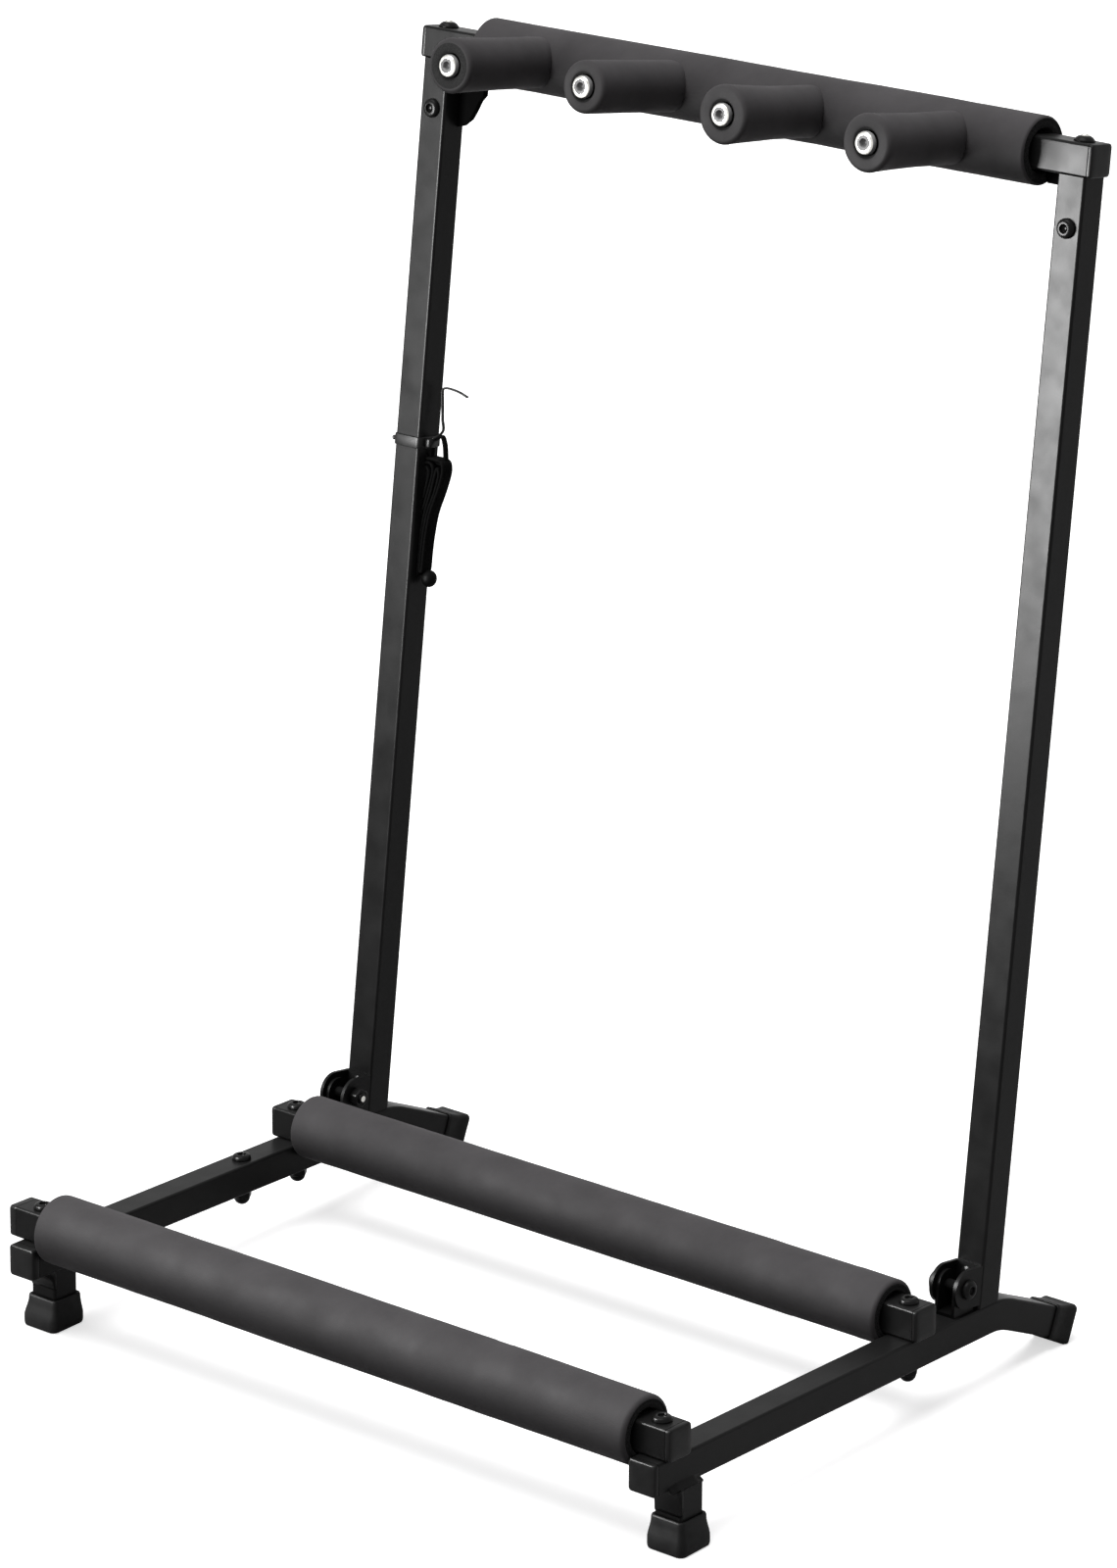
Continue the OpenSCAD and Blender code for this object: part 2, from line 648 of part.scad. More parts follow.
// Folded storage strap on the inner face of the left upright, hung from the cable tie
module storage_strap() {
  color([0.06, 0.06, 0.06]) mast_frame() translate([-half_w + tube / 2, strap_t / 2, strap_top]) rotate([90, 0, 0])
    linear_extrude(strap_t) polygon([[0, 0], [strap_w * 0.8, 0], [strap_w, -strap_w * 0.5],
      [strap_w, -strap_len * 0.35], [strap_tail_w, -strap_len * 0.6], [strap_tail_w * 0.7, -strap_len],
      [0, -strap_len]]);
}

module strap_bead() {
  color([0.05, 0.05, 0.05]) mast_frame()
    translate([-half_w + tube / 2 + bead_r + hole_clear, 0, strap_top - strap_len]) difference() {
      translate([0, 0, -bead_r * 0.7]) sphere(bead_r);
      cylinder(r = bead_r, h = bead_r);
    }
}

on_floor() side_tube(-1);  // side_tube_left
on_floor() side_tube(1);  // side_tube_right
on_floor() side_plug(-1);  // side_plug_left
on_floor() side_plug(1);  // side_plug_right
on_floor() front_leg(-1);  // front_leg_left
on_floor() front_leg(1);  // front_leg_right
on_floor() front_foot(-1);  // front_foot_left
on_floor() front_foot(1);  // front_foot_right
on_floor() rear_foot(-1);  // rear_foot_left
on_floor() rear_foot(1);  // rear_foot_right
on_floor() crossbar(0, front_bar_extra);  // front_crossbar
on_floor() crossbar(bar_spacing, 0);  // rear_crossbar
on_floor() bar_plug(-1, 0, front_bar_extra);  // front_bar_plug_left
on_floor() bar_plug(1, 0, 0);  // front_bar_plug_right
on_floor() bar_plug(-1, bar_spacing, 0);  // rear_bar_plug_left
on_floor() bar_plug(1, bar_spacing, 0);  // rear_bar_plug_right
on_floor() base_foam(0, front_foam_od);  // front_foam
on_floor() base_foam(bar_spacing, rear_foam_od);  // rear_foam
on_floor() hinge_lug(-1);  // hinge_lug_left
on_floor() hinge_lug(1);  // hinge_lug_right
on_floor() crossbar_bolts();
on_floor() weld_nuts();
on_floor() acorn_nuts();
on_floor() spare_bolt();
on_floor() upright(-1);  // upright_left
on_floor() upright(1);  // upright_right
on_floor() hinge_bracket(-1);  // hinge_bracket_left
on_floor() hinge_bracket(1);  // hinge_bracket_right
on_floor() hinge_pin(-1);  // hinge_pin_left
on_floor() hinge_pin(1);  // hinge_pin_right
on_floor() hinge_nuts();
on_floor() bracket_rivets();
on_floor() top_bar();
on_floor() top_plug(-1);  // top_plug_left
on_floor() top_plug(1);  // top_plug_right
on_floor() top_insert(-1);  // top_insert_left
on_floor() top_insert(1);  // top_insert_right
on_floor() insert_bolts();
on_floor() top_bolts();
on_floor() corner_gusset_left();
on_floor() corner_gusset_right();
on_floor() top_foam();
on_floor() finger_rod(0);  // finger_rod_1
on_floor() finger_rod(1);  // finger_rod_2
on_floor() finger_rod(2);  // finger_rod_3
on_floor() finger_rod(3);  // finger_rod_4
on_floor() finger_foam(0);  // finger_foam_1
on_floor() finger_foam(1);  // finger_foam_2
on_floor() finger_foam(2);  // finger_foam_3
on_floor() finger_foam(3);  // finger_foam_4
on_floor() finger_washers();
on_floor() finger_bolts();
on_floor() cable_tie();
on_floor() storage_strap();
on_floor() strap_bead();
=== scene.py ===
"""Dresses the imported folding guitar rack: foam, rubber, webbing, fasteners, paint, studio and camera."""

import json
import math

import bmesh
import bpy
from mathutils import Matrix, Vector, noise


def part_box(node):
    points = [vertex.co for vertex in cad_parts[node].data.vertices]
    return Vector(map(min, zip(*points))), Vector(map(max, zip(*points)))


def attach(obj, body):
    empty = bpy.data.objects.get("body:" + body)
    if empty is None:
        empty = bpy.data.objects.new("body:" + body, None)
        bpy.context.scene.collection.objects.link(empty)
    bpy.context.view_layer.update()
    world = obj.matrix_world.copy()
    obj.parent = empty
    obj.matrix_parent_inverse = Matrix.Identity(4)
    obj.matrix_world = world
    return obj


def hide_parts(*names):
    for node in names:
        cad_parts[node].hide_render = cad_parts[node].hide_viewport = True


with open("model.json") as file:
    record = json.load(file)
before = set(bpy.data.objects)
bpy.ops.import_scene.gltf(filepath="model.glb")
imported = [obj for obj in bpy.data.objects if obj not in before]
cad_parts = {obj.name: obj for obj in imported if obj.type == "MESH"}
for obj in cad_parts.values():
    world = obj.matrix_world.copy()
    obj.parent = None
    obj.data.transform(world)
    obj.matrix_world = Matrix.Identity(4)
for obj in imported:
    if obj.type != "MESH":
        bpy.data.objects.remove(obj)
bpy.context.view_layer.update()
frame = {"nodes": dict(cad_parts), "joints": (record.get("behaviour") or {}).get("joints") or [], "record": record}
nodes = frame["nodes"]
MM = 0.001
SIDES = ((-1, "left"), (1, "right"))


# Camera: its place in metres, its angles, and the photo's own measures in pixels

CAM_AT = Vector((2.24890, -2.60289, 1.53907))
CAM_AZ = math.radians(40.7056)
CAM_EL = math.radians(16.9984)
CAM_ROLL = math.radians(-0.9748)
FOCAL_PX = 6861.36
CENTRE_PX = (570.54, 498.88)
IMAGE = (1140, 1600)
SENSOR_MM = 36
NEAR_CLIP = 0.1
FAR_CLIP = 60


def oriented(right, up, back):
    """Rotation that lays local x, y and z along three directions."""
    return Matrix((right, up, back)).transposed().to_4x4()


def add_camera():
    level = math.cos(CAM_EL)
    back = Vector((math.sin(CAM_AZ) * level, -math.cos(CAM_AZ) * level, math.sin(CAM_EL)))
    right = Vector((math.cos(CAM_AZ), math.sin(CAM_AZ), 0))
    up = back.cross(right)
    rolled_right = right * math.cos(CAM_ROLL) + up * math.sin(CAM_ROLL)
    rolled_up = up * math.cos(CAM_ROLL) - right * math.sin(CAM_ROLL)
    data = bpy.data.cameras.new("camera")
    data.sensor_fit = "AUTO"
    data.sensor_width = SENSOR_MM
    data.lens = FOCAL_PX * SENSOR_MM / IMAGE[1]
    data.shift_x = (IMAGE[0] / 2 - CENTRE_PX[0]) / IMAGE[1]
    data.shift_y = -(IMAGE[1] / 2 - CENTRE_PX[1]) / IMAGE[1]
    data.clip_start = NEAR_CLIP
    data.clip_end = FAR_CLIP
    camera = bpy.data.objects.new("camera", data)
    camera.matrix_world = Matrix.Translation(CAM_AT) @ oriented(rolled_right, rolled_up, back)
    bpy.context.scene.collection.objects.link(camera)
    bpy.context.scene.camera = camera


add_camera()


# Materials

# Most of the noise pattern's values lie between these two
NOISE_LOW = 0.3
NOISE_HIGH = 0.7


class Tree:
    """A material's node tree, with short ways to add and join nodes."""

    def __init__(self, name):
        self.material = bpy.data.materials.new(name)
        self.material.use_nodes = True
        self.nodes = self.material.node_tree.nodes
        self.links = self.material.node_tree.links
        self.shader = self.nodes["Principled BSDF"]
        self.coords = self.nodes.new("ShaderNodeTexCoord")

    def set(self, **values):
        for key, value in values.items():
            self.shader.inputs[key.replace("_", " ")].default_value = value

    def noise(self, scale, detail, rough=0.5, stretch=None):
        n = self.nodes.new("ShaderNodeTexNoise")
        n.inputs["Scale"].default_value = scale
        n.inputs["Detail"].default_value = detail
        n.inputs["Roughness"].default_value = rough
        source = self.coords.outputs["Object"]
        if stretch:
            m = self.nodes.new("ShaderNodeMapping")
            m.inputs["Scale"].default_value = stretch
            self.links.new(source, m.inputs["Vector"])
            source = m.outputs["Vector"]
        self.links.new(source, n.inputs["Vector"])
        return n.outputs["Fac"]

    def voronoi(self, scale):
        n = self.nodes.new("ShaderNodeTexVoronoi")
        n.inputs["Scale"].default_value = scale
        self.links.new(self.coords.outputs["Object"], n.inputs["Vector"])
        return n.outputs["Distance"]

    def colour(self, source, dark, light, low=NOISE_LOW, high=NOISE_HIGH):
        """Base colour that runs from dark to light while the pattern runs from low to high."""
        r = self.nodes.new("ShaderNodeValToRGB")
        stops = r.color_ramp.elements
        stops[0].position = low
        stops[0].color = dark
        stops[1].position = high
        stops[1].color = light
        self.links.new(source, r.inputs["Fac"])
        self.links.new(r.outputs["Color"], self.shader.inputs["Base Color"])

    def roughness(self, source, smooth, rough):
        """Roughness that runs from smooth to rough with the noise."""
        m = self.nodes.new("ShaderNodeMapRange")
        m.inputs["From Min"].default_value = NOISE_LOW
        m.inputs["From Max"].default_value = NOISE_HIGH
        m.inputs["To Min"].default_value = smooth
        m.inputs["To Max"].default_value = rough
        self.links.new(source, m.inputs["Value"])
        self.links.new(m.outputs["Result"], self.shader.inputs["Roughness"])

    def bump(self, source, distance, strength, under=None):
        """Relief of a depth in metres, laid over the relief under it."""
        b = self.nodes.new("ShaderNodeBump")
        b.inputs["Strength"].default_value = strength
        b.inputs["Distance"].default_value = distance
        self.links.new(source, b.inputs["Height"])
        if under:
            self.links.new(under, b.inputs["Normal"])
        return b.outputs["Normal"]

    def relief(self, normal):
        self.links.new(normal, self.shader.inputs["Normal"])


def grey(v, tint=(1, 1, 1)):
    return (v * tint[0], v * tint[1], v * tint[2], 1)


def powder_coat(name, dark, light, rough, gloss=0.058):
    """Baked paint: slow clouds in its tone, and orange peel under a shallow wave."""
    t = Tree(name)
    t.set(Metallic=0.0, IOR=1.5, Specular_IOR_Level=gloss)
    t.colour(t.noise(9, 3), grey(dark), grey(light))
    t.roughness(t.noise(60, 3), rough - 0.04, rough + 0.05)
    peel = t.bump(t.noise(900, 2), 0.00004, 0.5)
    t.relief(t.bump(t.noise(120, 1), 0.00010, 0.3, peel))
    return t.material


def foam_skin(name, dark, light):
    """The foam's skin: a cloudy warm grey over fine closed cells."""
    t = Tree(name)
    t.set(Metallic=0.0, IOR=1.42, Specular_IOR_Level=0.055, Sheen_Weight=0.03, Sheen_Roughness=0.5)
    tint = (1.0, 0.95, 0.985)
    t.colour(t.noise(26, 4, 0.6), grey(dark, tint), grey(light, tint), NOISE_LOW, 0.72)
    t.roughness(t.noise(40, 3), 0.62, 0.78)
    cells = t.bump(t.voronoi(1500), 0.00007, 0.55)
    t.relief(t.bump(t.noise(260, 3, 0.6), 0.00022, 0.35, cells))
    return t.material


def foam_cut(name):
    """The foam's cut ends: open cells, matt and darker. The same material lies in the finger tips' dishes as
    painted shade.
    """
    t = Tree(name)
    t.set(Metallic=0.0, IOR=1.4, Specular_IOR_Level=0.1, Roughness=0.92)
    t.colour(t.voronoi(1100), grey(0.006), grey(0.026), 0.05, 0.6)
    t.relief(t.bump(t.voronoi(1100), 0.0002, 0.8))
    return t.material


def rubber(name, shade):
    t = Tree(name)
    t.set(Metallic=0.0, IOR=1.48, Specular_IOR_Level=0.1)
    t.colour(t.noise(70, 3), grey(shade * 0.8), grey(shade * 1.25))
    t.roughness(t.noise(150, 3), 0.46, 0.62)
    t.relief(t.bump(t.noise(1300, 2), 0.00006, 0.4))
    return t.material


def plastic(name, shade, rough):
    t = Tree(name)
    t.set(Metallic=0.0, IOR=1.48, Specular_IOR_Level=0.1)
    t.colour(t.noise(50, 2), grey(shade * 0.85), grey(shade * 1.2))
    t.roughness(t.noise(200, 3), rough - 0.06, rough + 0.06)
    t.relief(t.bump(t.noise(1600, 2), 0.00003, 0.4))
    return t.material


def metal(name, dark, light, rough, tint=(1, 1, 1)):
    t = Tree(name)
    t.set(Metallic=1.0)
    t.colour(t.noise(300, 3), grey(dark, tint), grey(light, tint))
    t.roughness(t.noise(500, 3), rough - 0.05, rough + 0.07)
    t.relief(t.bump(t.noise(2200, 2), 0.00002, 0.4))
    return t.material


def webbing(name):
    """Black cloth with fine level threads."""
    t = Tree(name)
    t.set(Metallic=0.0, IOR=1.45, Specular_IOR_Level=0.015, Roughness=0.8)
    t.colour(t.noise(600, 2), grey(0.003), grey(0.008))
    t.relief(t.bump(t.noise(1200, 2, 0.5, (1, 1, 3)), 0.0002, 0.7))
    return t.material


skin = foam_skin("foam_skin", 0.058, 0.078)
cut = foam_cut("foam_cut_end_and_dish_shade")
paint = powder_coat("powder_coat_paint", 0.0075, 0.0125, 0.34)
# Near black with little gloss: painted shade on the corner gussets and the finger washers
painted_shade_black = powder_coat("matt_black_paint", 0.0025, 0.005, 0.7, 0.004)
plug_plastic = plastic("plug_plastic", 0.008, 0.38)
bead_plastic = powder_coat("bead_plastic", 0.004, 0.007, 0.5, 0.018)
nylon = plastic("tie_nylon", 0.012, 0.42)
foot_rubber = rubber("foot_rubber", 0.009)
strap_cloth = webbing("strap_webbing")
black_zinc = powder_coat("black_zinc", 0.006, 0.012, 0.3)
bright_zinc = metal("bright_zinc", 0.42, 0.60, 0.30, (1.0, 0.985, 0.93))
# Darker, duller copy of the zinc: painted shade under the finger screws' domes and in their sockets
painted_shade_zinc = powder_coat("painted_shade_zinc", 0.26, 0.42, 0.4)

FINISH = {
    "powder_coat": paint,
    "black_plate": powder_coat("plate_paint", 0.003, 0.006, 0.42),
    "black_plastic": plug_plastic,
    "foot_rubber": foot_rubber,
    "foam": skin,
    "black_fastener": black_zinc,
    "bright_steel": bright_zinc,
    "rod_steel": metal("plain_steel", 0.25, 0.4, 0.4),
    "tie_nylon": nylon,
    "strap_webbing": strap_cloth,
}
SLOT_OF = {s["node"]: s["material_slot"] for s in frame["record"]["subparts"]}
# The corner gussets take a darker, duller black than the other plates, as painted shade for the shade of the foams
# above them
for node_name, node in nodes.items():
    node.data.materials.clear()
    corner = node_name.startswith("corner_gusset")
    node.data.materials.append(painted_shade_black if corner else FINISH[SLOT_OF[node_name]])


# Sizes and frames. Places are in metres and the tube's width is in millimetres


def span(node_name):
    """Centre and half size of a CAD node, in metres."""
    low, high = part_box(node_name)
    return (low + high) / 2, (high - low) / 2


def bar_end(node_name, side):
    """Where a bar ends along x, on its left (-1) or right (1)."""
    low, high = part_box(node_name)
    return high.x if side > 0 else low.x


def shift(x, y, z):
    return Matrix.Translation(Vector((x, y, z)))


def turn(degrees, axis):
    return Matrix.Rotation(math.radians(degrees), 4, axis)


# Width of the square tube, and how far from the middle the uprights and the side tubes lie
TUBE = 2 * span("upright_left")[1].x / MM
HALF_W = span("top_bar")[1].x - TUBE / 2 * MM
# Base: y runs back from the front crossbar's axis, and z runs up from the floor under the front legs.
# The front legs' axes, and how much further out than the side tubes they stand
LEG_SETBACK = 0.0105
LEG_OUT = 0.003
# Axes of the spare bolt, of the rear crossbar, and of the uprights at their feet
SPARE_Y = 0.1605
REAR_BAR_Y = 0.2075
FOOT_Y = 0.2675
# Front ends, top and axis of the side tubes, and the axis of the crossbars on them
SIDE_FRONT_Y = -0.013
SIDE_TOP = 0.0545
SIDE_AXIS_Z = SIDE_TOP - TUBE / 2 * MM
BAR_AXIS_Z = SIDE_TOP + TUBE / 2 * MM
# Mast: z runs up the uprights' axes from the side tubes' top. The inserts' screws, and the top bar's axis
INSERT_U = 0.5905
BAR_U = 0.6275

# The front legs lie this far ahead of the stand's origin. The base tips back until its rear legs stand on
# the floor too, and the mast leans back on the base
MIDDLE_Y = 0.1705232
PITCH_DEGREES = 1.78390
LEAN_DEGREES = 6.6
LEAN = math.radians(LEAN_DEGREES) + math.radians(PITCH_DEGREES)
BASE = shift(0, -MIDDLE_Y, 0) @ turn(-PITCH_DEGREES, "X") @ shift(0, -LEG_SETBACK, 0)
MAST = BASE @ shift(0, FOOT_Y, SIDE_TOP) @ turn(-LEAN_DEGREES, "X")
MAST_BACK = (MAST.to_3x3() @ Vector((0, 1, 0))).normalized()
MAST_UP = (MAST.to_3x3() @ Vector((0, 0, 1))).normalized()
# The hinge's axis, in the base's frame
PIN = BASE.inverted() @ Vector(frame["joints"][0]["pos_m"])


# Shared shapes

# A rectangle's corners: the signs of x and y, and the angle in degrees at which the corner's arc starts
CORNERS = ((1, 1, 0), (-1, 1, 90), (-1, -1, 180), (1, -1, 270))


def new_object(name, bm, materials, body):
    bmesh.ops.recalc_face_normals(bm, faces=bm.faces)
    mesh = bpy.data.meshes.new(name)
    bm.to_mesh(mesh)
    bm.free()
    for m in materials:
        mesh.materials.append(m)
    mesh.polygons.foreach_set("use_smooth", [True] * len(mesh.polygons))
    mesh.update()
    o = bpy.data.objects.new(name, mesh)
    bpy.context.scene.collection.objects.link(o)
    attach(o, body)
    return o


def metres(profile):
    return [(r * MM, z * MM) for r, z in profile]


def lathe(bm, profile, place, steps, material_at=None, wobble=None):
    """Revolves (radius, along) pairs about place's Z. A profile that ends at radius 0 is closed there."""
    rings = []
    for k, (r, h) in enumerate(profile):
        if r == 0:
            rings.append([bm.verts.new(place @ Vector((0, 0, h)))])
            continue
        ring = []
        for i in range(steps):
            a = 2 * math.pi * i / steps
            p = Vector((r * math.cos(a), r * math.sin(a), h))
            if wobble:
                p = wobble(p, k)
            ring.append(bm.verts.new(place @ p))
        rings.append(ring)
    for k in range(len(rings) - 1):
        a, b = rings[k], rings[k + 1]
        for i in range(steps):
            j = (i + 1) % steps
            if len(a) == 1:
                f = bm.faces.new((a[0], b[j], b[i]))
            elif len(b) == 1:
                f = bm.faces.new((a[i], a[j], b[0]))
            else:
                f = bm.faces.new((a[i], a[j], b[j], b[i]))
            if material_at:
                f.material_index = material_at(k)


def skin_rings(bm, rings):
    """Joins rings of vertices into a closed skin."""
    count = len(rings[0])
    for a, b in zip(rings, rings[1:]):
        for i in range(count):
            j = (i + 1) % count
            bm.faces.new((a[i], a[j], b[j], b[i]))
    bm.faces.new(list(reversed(rings[0])))
    bm.faces.new(rings[-1])


def loft(bm, rings, place, bend=None):
    """Closed skin over rings of local points. Bend gets each point in the world and as it was."""
    made = []
    for ring in rings:
        row = []
        for v in ring:
            world = place @ v
            row.append(bm.verts.new(bend(world, v) if bend else world))
        made.append(row)
    skin_rings(bm, made)


def rounded_ring(w, d, r, z, steps=6, aside=0.0):
    """Ring of a rounded rectangle, in millimetres, about local Z."""
    ring = []
    for sx, sy, start in CORNERS:
        for i in range(steps + 1):
            a = math.radians(start + 90 * i / steps)
            x = sx * (w / 2 - r) + r * math.cos(a) + aside
            y = sy * (d / 2 - r) + r * math.sin(a)
            ring.append(Vector((x, y, z)) * MM)
    return ring


def square_rings(rows, steps=6):
    """Rings of rounded squares, from (width, corner radius, height) in millimetres."""
    return [rounded_ring(w, w, r, z, steps) for w, r, z in rows]


def sweep(bm, points, across, section):
    """Sweeps a closed section of (sideways, outward) pairs along points. Across is the sideways direction."""
    made = []
    for i, at in enumerate(points):
        before = points[max(i - 1, 0)]
        after = points[min(i + 1, len(points) - 1)]
        along = (after - before).normalized()
        out = across.cross(along).normalized()
        side = along.cross(out).normalized()
        made.append([bm.verts.new(at + side * a + out * b) for a, b in section])
    skin_rings(bm, made)


def flat_section(width, thick, edge_steps=4):
    """Section of a flat band with rounded edges, from its size in millimetres."""
    w = width * MM
    r = thick * MM / 2
    pairs = []
    for sign, start in ((1, -90), (-1, 90)):
        for i in range(edge_steps + 1):
            a = math.radians(start + 180 * i / edge_steps)
            pairs.append((sign * (w / 2 - r) + r * math.cos(a), r * math.sin(a)))
    return pairs


def smooth_path(corners, steps=6):
    """Catmull-Rom curve through the corners."""
    pts = []
    for i in range(len(corners) - 1):
        a = corners[max(i - 1, 0)]
        b = corners[i]
        c = corners[i + 1]
        d = corners[min(i + 2, len(corners) - 1)]
        for k in range(steps):
            u = k / steps
            first = (c - a) * u
            second = (2 * a - 5 * b + 4 * c - d) * u * u
            third = (3 * b - a - 3 * c + d) * u ** 3
            pts.append(0.5 * (2 * b + first + second + third))
    pts.append(corners[-1])
    return pts


# Foam sleeves on the crossbars and the top bar

FOAM_STEPS = 72
CUT_STEPS = 5
EDGE_STEPS = 6
BAR_RINGS = 150
FOAM_BORE = 12.3 * MM
# How deep the bore shows inside each end, and how far the cut face starts out from the bore
BORE_DEPTH = 14 * MM
BORE_EDGE = 0.4 * MM
# Heights of the cut face's ripple and of the skin's slow lumps and fine grain, and how close they lie
RIPPLE = 0.25 * MM
RIPPLES = 9
LUMP = 0.45 * MM
LUMPS_ALONG = 9
LUMPS_ROUND = 14
GRAIN = 0.10 * MM
GRAINS = 60
# Where the skin would swell further than this, it keeps to the sleeve's radius
MOST_SWELL = 0.2 * MM
# Depth of the dent that a finger's foam presses into the bar's, and its reach along and round the bar
DENT = 4.0 * MM
DENT_REACH = 18 * MM
DENT_TURN = 0.8


def dent(along, angle):
    """Depth of the dent at a distance along the bar and an angle from the finger's direction."""
    return DENT * math.exp(-((along / DENT_REACH) ** 2)) * math.exp(-((angle / DENT_TURN) ** 2))


def foam_bar(name, node_name, body, seed, edge, marks=()):
    """Foam sleeve with rounded edges, open cells on its cut ends, and a dent at each mark along it."""
    centre, half = span(node_name)
    end = -half.x
    radius = half.z
    first = FOAM_BORE + BORE_EDGE
    place = Matrix.Translation(centre) @ turn(90, "Y")
    profile = [(FOAM_BORE, end + BORE_DEPTH), (FOAM_BORE, end + edge * 0.4)]
    for i in range(CUT_STEPS + 1):
        t = i / CUT_STEPS
        profile.append((first + (radius - edge - first) * t, end + RIPPLE * math.sin(t * RIPPLES + seed)))
    cut_rows = len(profile) - 1
    for i in range(1, EDGE_STEPS):
        a = math.pi / 2 * i / EDGE_STEPS
        profile.append((radius - edge + edge * math.sin(a), end + edge - edge * math.cos(a)))
    mirror = [(r, -h) for r, h in reversed(profile)]
    for i in range(BAR_RINGS + 1):
        profile.append((radius, end + edge + 2 * (half.x - edge) * i / BAR_RINGS))
    profile += mirror
    last_cut = len(profile) - 1 - cut_rows

    def wobble(p, k):
        r = math.hypot(p.x, p.y)
        if r < FOAM_BORE + MM:
            return p
        share = min(1, (r - FOAM_BORE) / (radius - FOAM_BORE))
        lumps = Vector((p.z * LUMPS_ALONG, p.x * LUMPS_ROUND, p.y * LUMPS_ROUND + seed))
        grains = Vector((p.z * GRAINS, p.x * GRAINS, p.y * GRAINS + seed * 2))
        push = (noise.noise(lumps) * LUMP + noise.noise(grains) * GRAIN) * share
        # Angle from the fingers' direction
        turned = math.atan2(p.y, p.x) + math.pi / 2 + LEAN
        turned = math.atan2(math.sin(turned), math.cos(turned))
        for at in marks:
            push -= dent(p.z - at, turned) * share
        if r + push > radius + MOST_SWELL:
            push = min(push, 0.0)
        return Vector((p.x * (1 + push / r), p.y * (1 + push / r), p.z))

    def material_at(k):
        """Cut foam in the bore and on the ends, and skin elsewhere."""
        return int(k < cut_rows or k >= last_cut)

    bm = bmesh.new()
    lathe(bm, profile, place, FOAM_STEPS, material_at, wobble)
    o = new_object(name, bm, [skin, cut], body)
    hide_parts(node_name)


FINGERS = range(4)
TOP_CENTRE, TOP_HALF = span("top_foam")
finger_xs = [span("finger_rod_%d" % (i + 1))[0].x for i in FINGERS]
marks = [x - TOP_CENTRE.x for x in finger_xs]
foam_bar("front_foam_sleeve", "front_foam", "base", seed=1.3, edge=2.4 * MM)
foam_bar("rear_foam_sleeve", "rear_foam", "base", seed=4.1, edge=2.2 * MM)
foam_bar("top_foam_sleeve", "top_foam", "mast", seed=7.7, edge=1.3 * MM, marks=marks)


# Finger foams, each with a dish in its tip that is painted dark as shade

TOP_R = TOP_HALF.z
# Each finger's own rise in degrees, the radius and reach of its foam, and the radius of its dish's painted shade,
# in mm
FINGER_RISE = (0.9, 2.2, 1.4, 0.7)
FINGER_R = (15.3, 14.6, 16.2, 15.8)
FINGER_TIP = (85.5, 86.0, 85.3, 84.5)
DISH_SHADE_R = (11.0, 8.0, 8.4, 8.0)
FINGER_BORE = 6.3 * MM
FINGER_EDGE = 2.6 * MM
# How far the foam stands out past the screw's seat
FINGER_LIP = 2.4 * MM
TIP_STEPS = 7
FINGER_RINGS = 30
# The foam narrows to this radius by this share of its length, and ends this far from the bar's dented foam
ROOT_R = 14.4 * MM
NARROWED_BY = 0.5
ROOT_GAP = 0.15 * MM
# How much its edge draws in at the root, and from which share of its length
ROOT_PINCH = 0.7 * MM
PINCHED_FROM = 0.95
# Height of the waves in a finger's skin, how close they lie, and each finger's own stretch of the noise
WAVE = 0.35 * MM
WAVES_ALONG = 22
WAVES_ROUND = 30
WAVE_SHIFT = 7


def finger_frame(index):
    """Frame of one finger: local z runs forward from the top bar's axis."""
    return MAST @ shift(finger_xs[index], 0, BAR_U) @ turn(90 - FINGER_RISE[index], "X")


def finger_foam(index):
    # Local z runs backward, from the tip at -tip to the root at the bar
    place = finger_frame(index) @ turn(180, "X")
    radius = FINGER_R[index] * MM
    tip = FINGER_TIP[index] * MM
    lip = FINGER_LIP
    edge = FINGER_EDGE
    profile = [
        (FINGER_BORE, -tip + 12 * MM),
        (FINGER_BORE, -tip + 0.6 * MM),
        (FINGER_BORE + 0.7 * MM, -tip - 0.1 * MM),
        (FINGER_BORE + 1.3 * MM, -tip - lip * 0.6),
        (FINGER_BORE + 2.2 * MM, -tip - lip * 0.92),
        (FINGER_BORE + 3.4 * MM, -tip - lip),
    ]
    for i in range(TIP_STEPS + 1):
        a = math.pi / 2 * i / TIP_STEPS
        profile.append((radius - edge + edge * math.sin(a), -tip - lip + edge - edge * math.cos(a)))
    first = -tip - lip + edge + 0.8 * MM
    sides = len(profile)
    # The wobble spreads these rows from just past the tip's rounded edge to the root
    profile += [(radius, first)] * (FINGER_RINGS + 1)

    def wobble(p, k):
        r = math.hypot(p.x, p.y)
        if k < sides:
            return p
        t = (k - sides) / FINGER_RINGS
        bar = TOP_R + ROOT_GAP - dent(p.x, math.asin(max(-1.0, min(1.0, p.y / TOP_R))))
        root = -math.sqrt(max(bar * bar - p.y * p.y, 0))
        h = first + (root - first) * t
        press = (radius - ROOT_R) * min(1.0, t / NARROWED_BY) ** 0.8
        pinch = ROOT_PINCH * max(0.0, (t - PINCHED_FROM) / (1 - PINCHED_FROM)) ** 2
        waves = Vector((p.x * WAVES_ROUND, p.y * WAVES_ROUND + index * WAVE_SHIFT, h * WAVES_ALONG))
        s = (r - press - pinch + noise.noise(waves) * WAVE * (1 - t * 0.5)) / r
        return Vector((p.x * s, p.y * s, h))

    # The dish's rows inside this radius take the dark cut foam, as painted shade in the recess round the screw
    dish_shade_rows = sum(1 for r, h in profile if r < DISH_SHADE_R[index] * MM)
    bm = bmesh.new()
    lathe(bm, profile, place, FOAM_STEPS, lambda k: int(k < dish_shade_rows), wobble)
    o = new_object("finger_foam_sleeve_%d" % (index + 1), bm, [skin, cut], "mast")
    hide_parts("finger_foam_%d" % (index + 1))


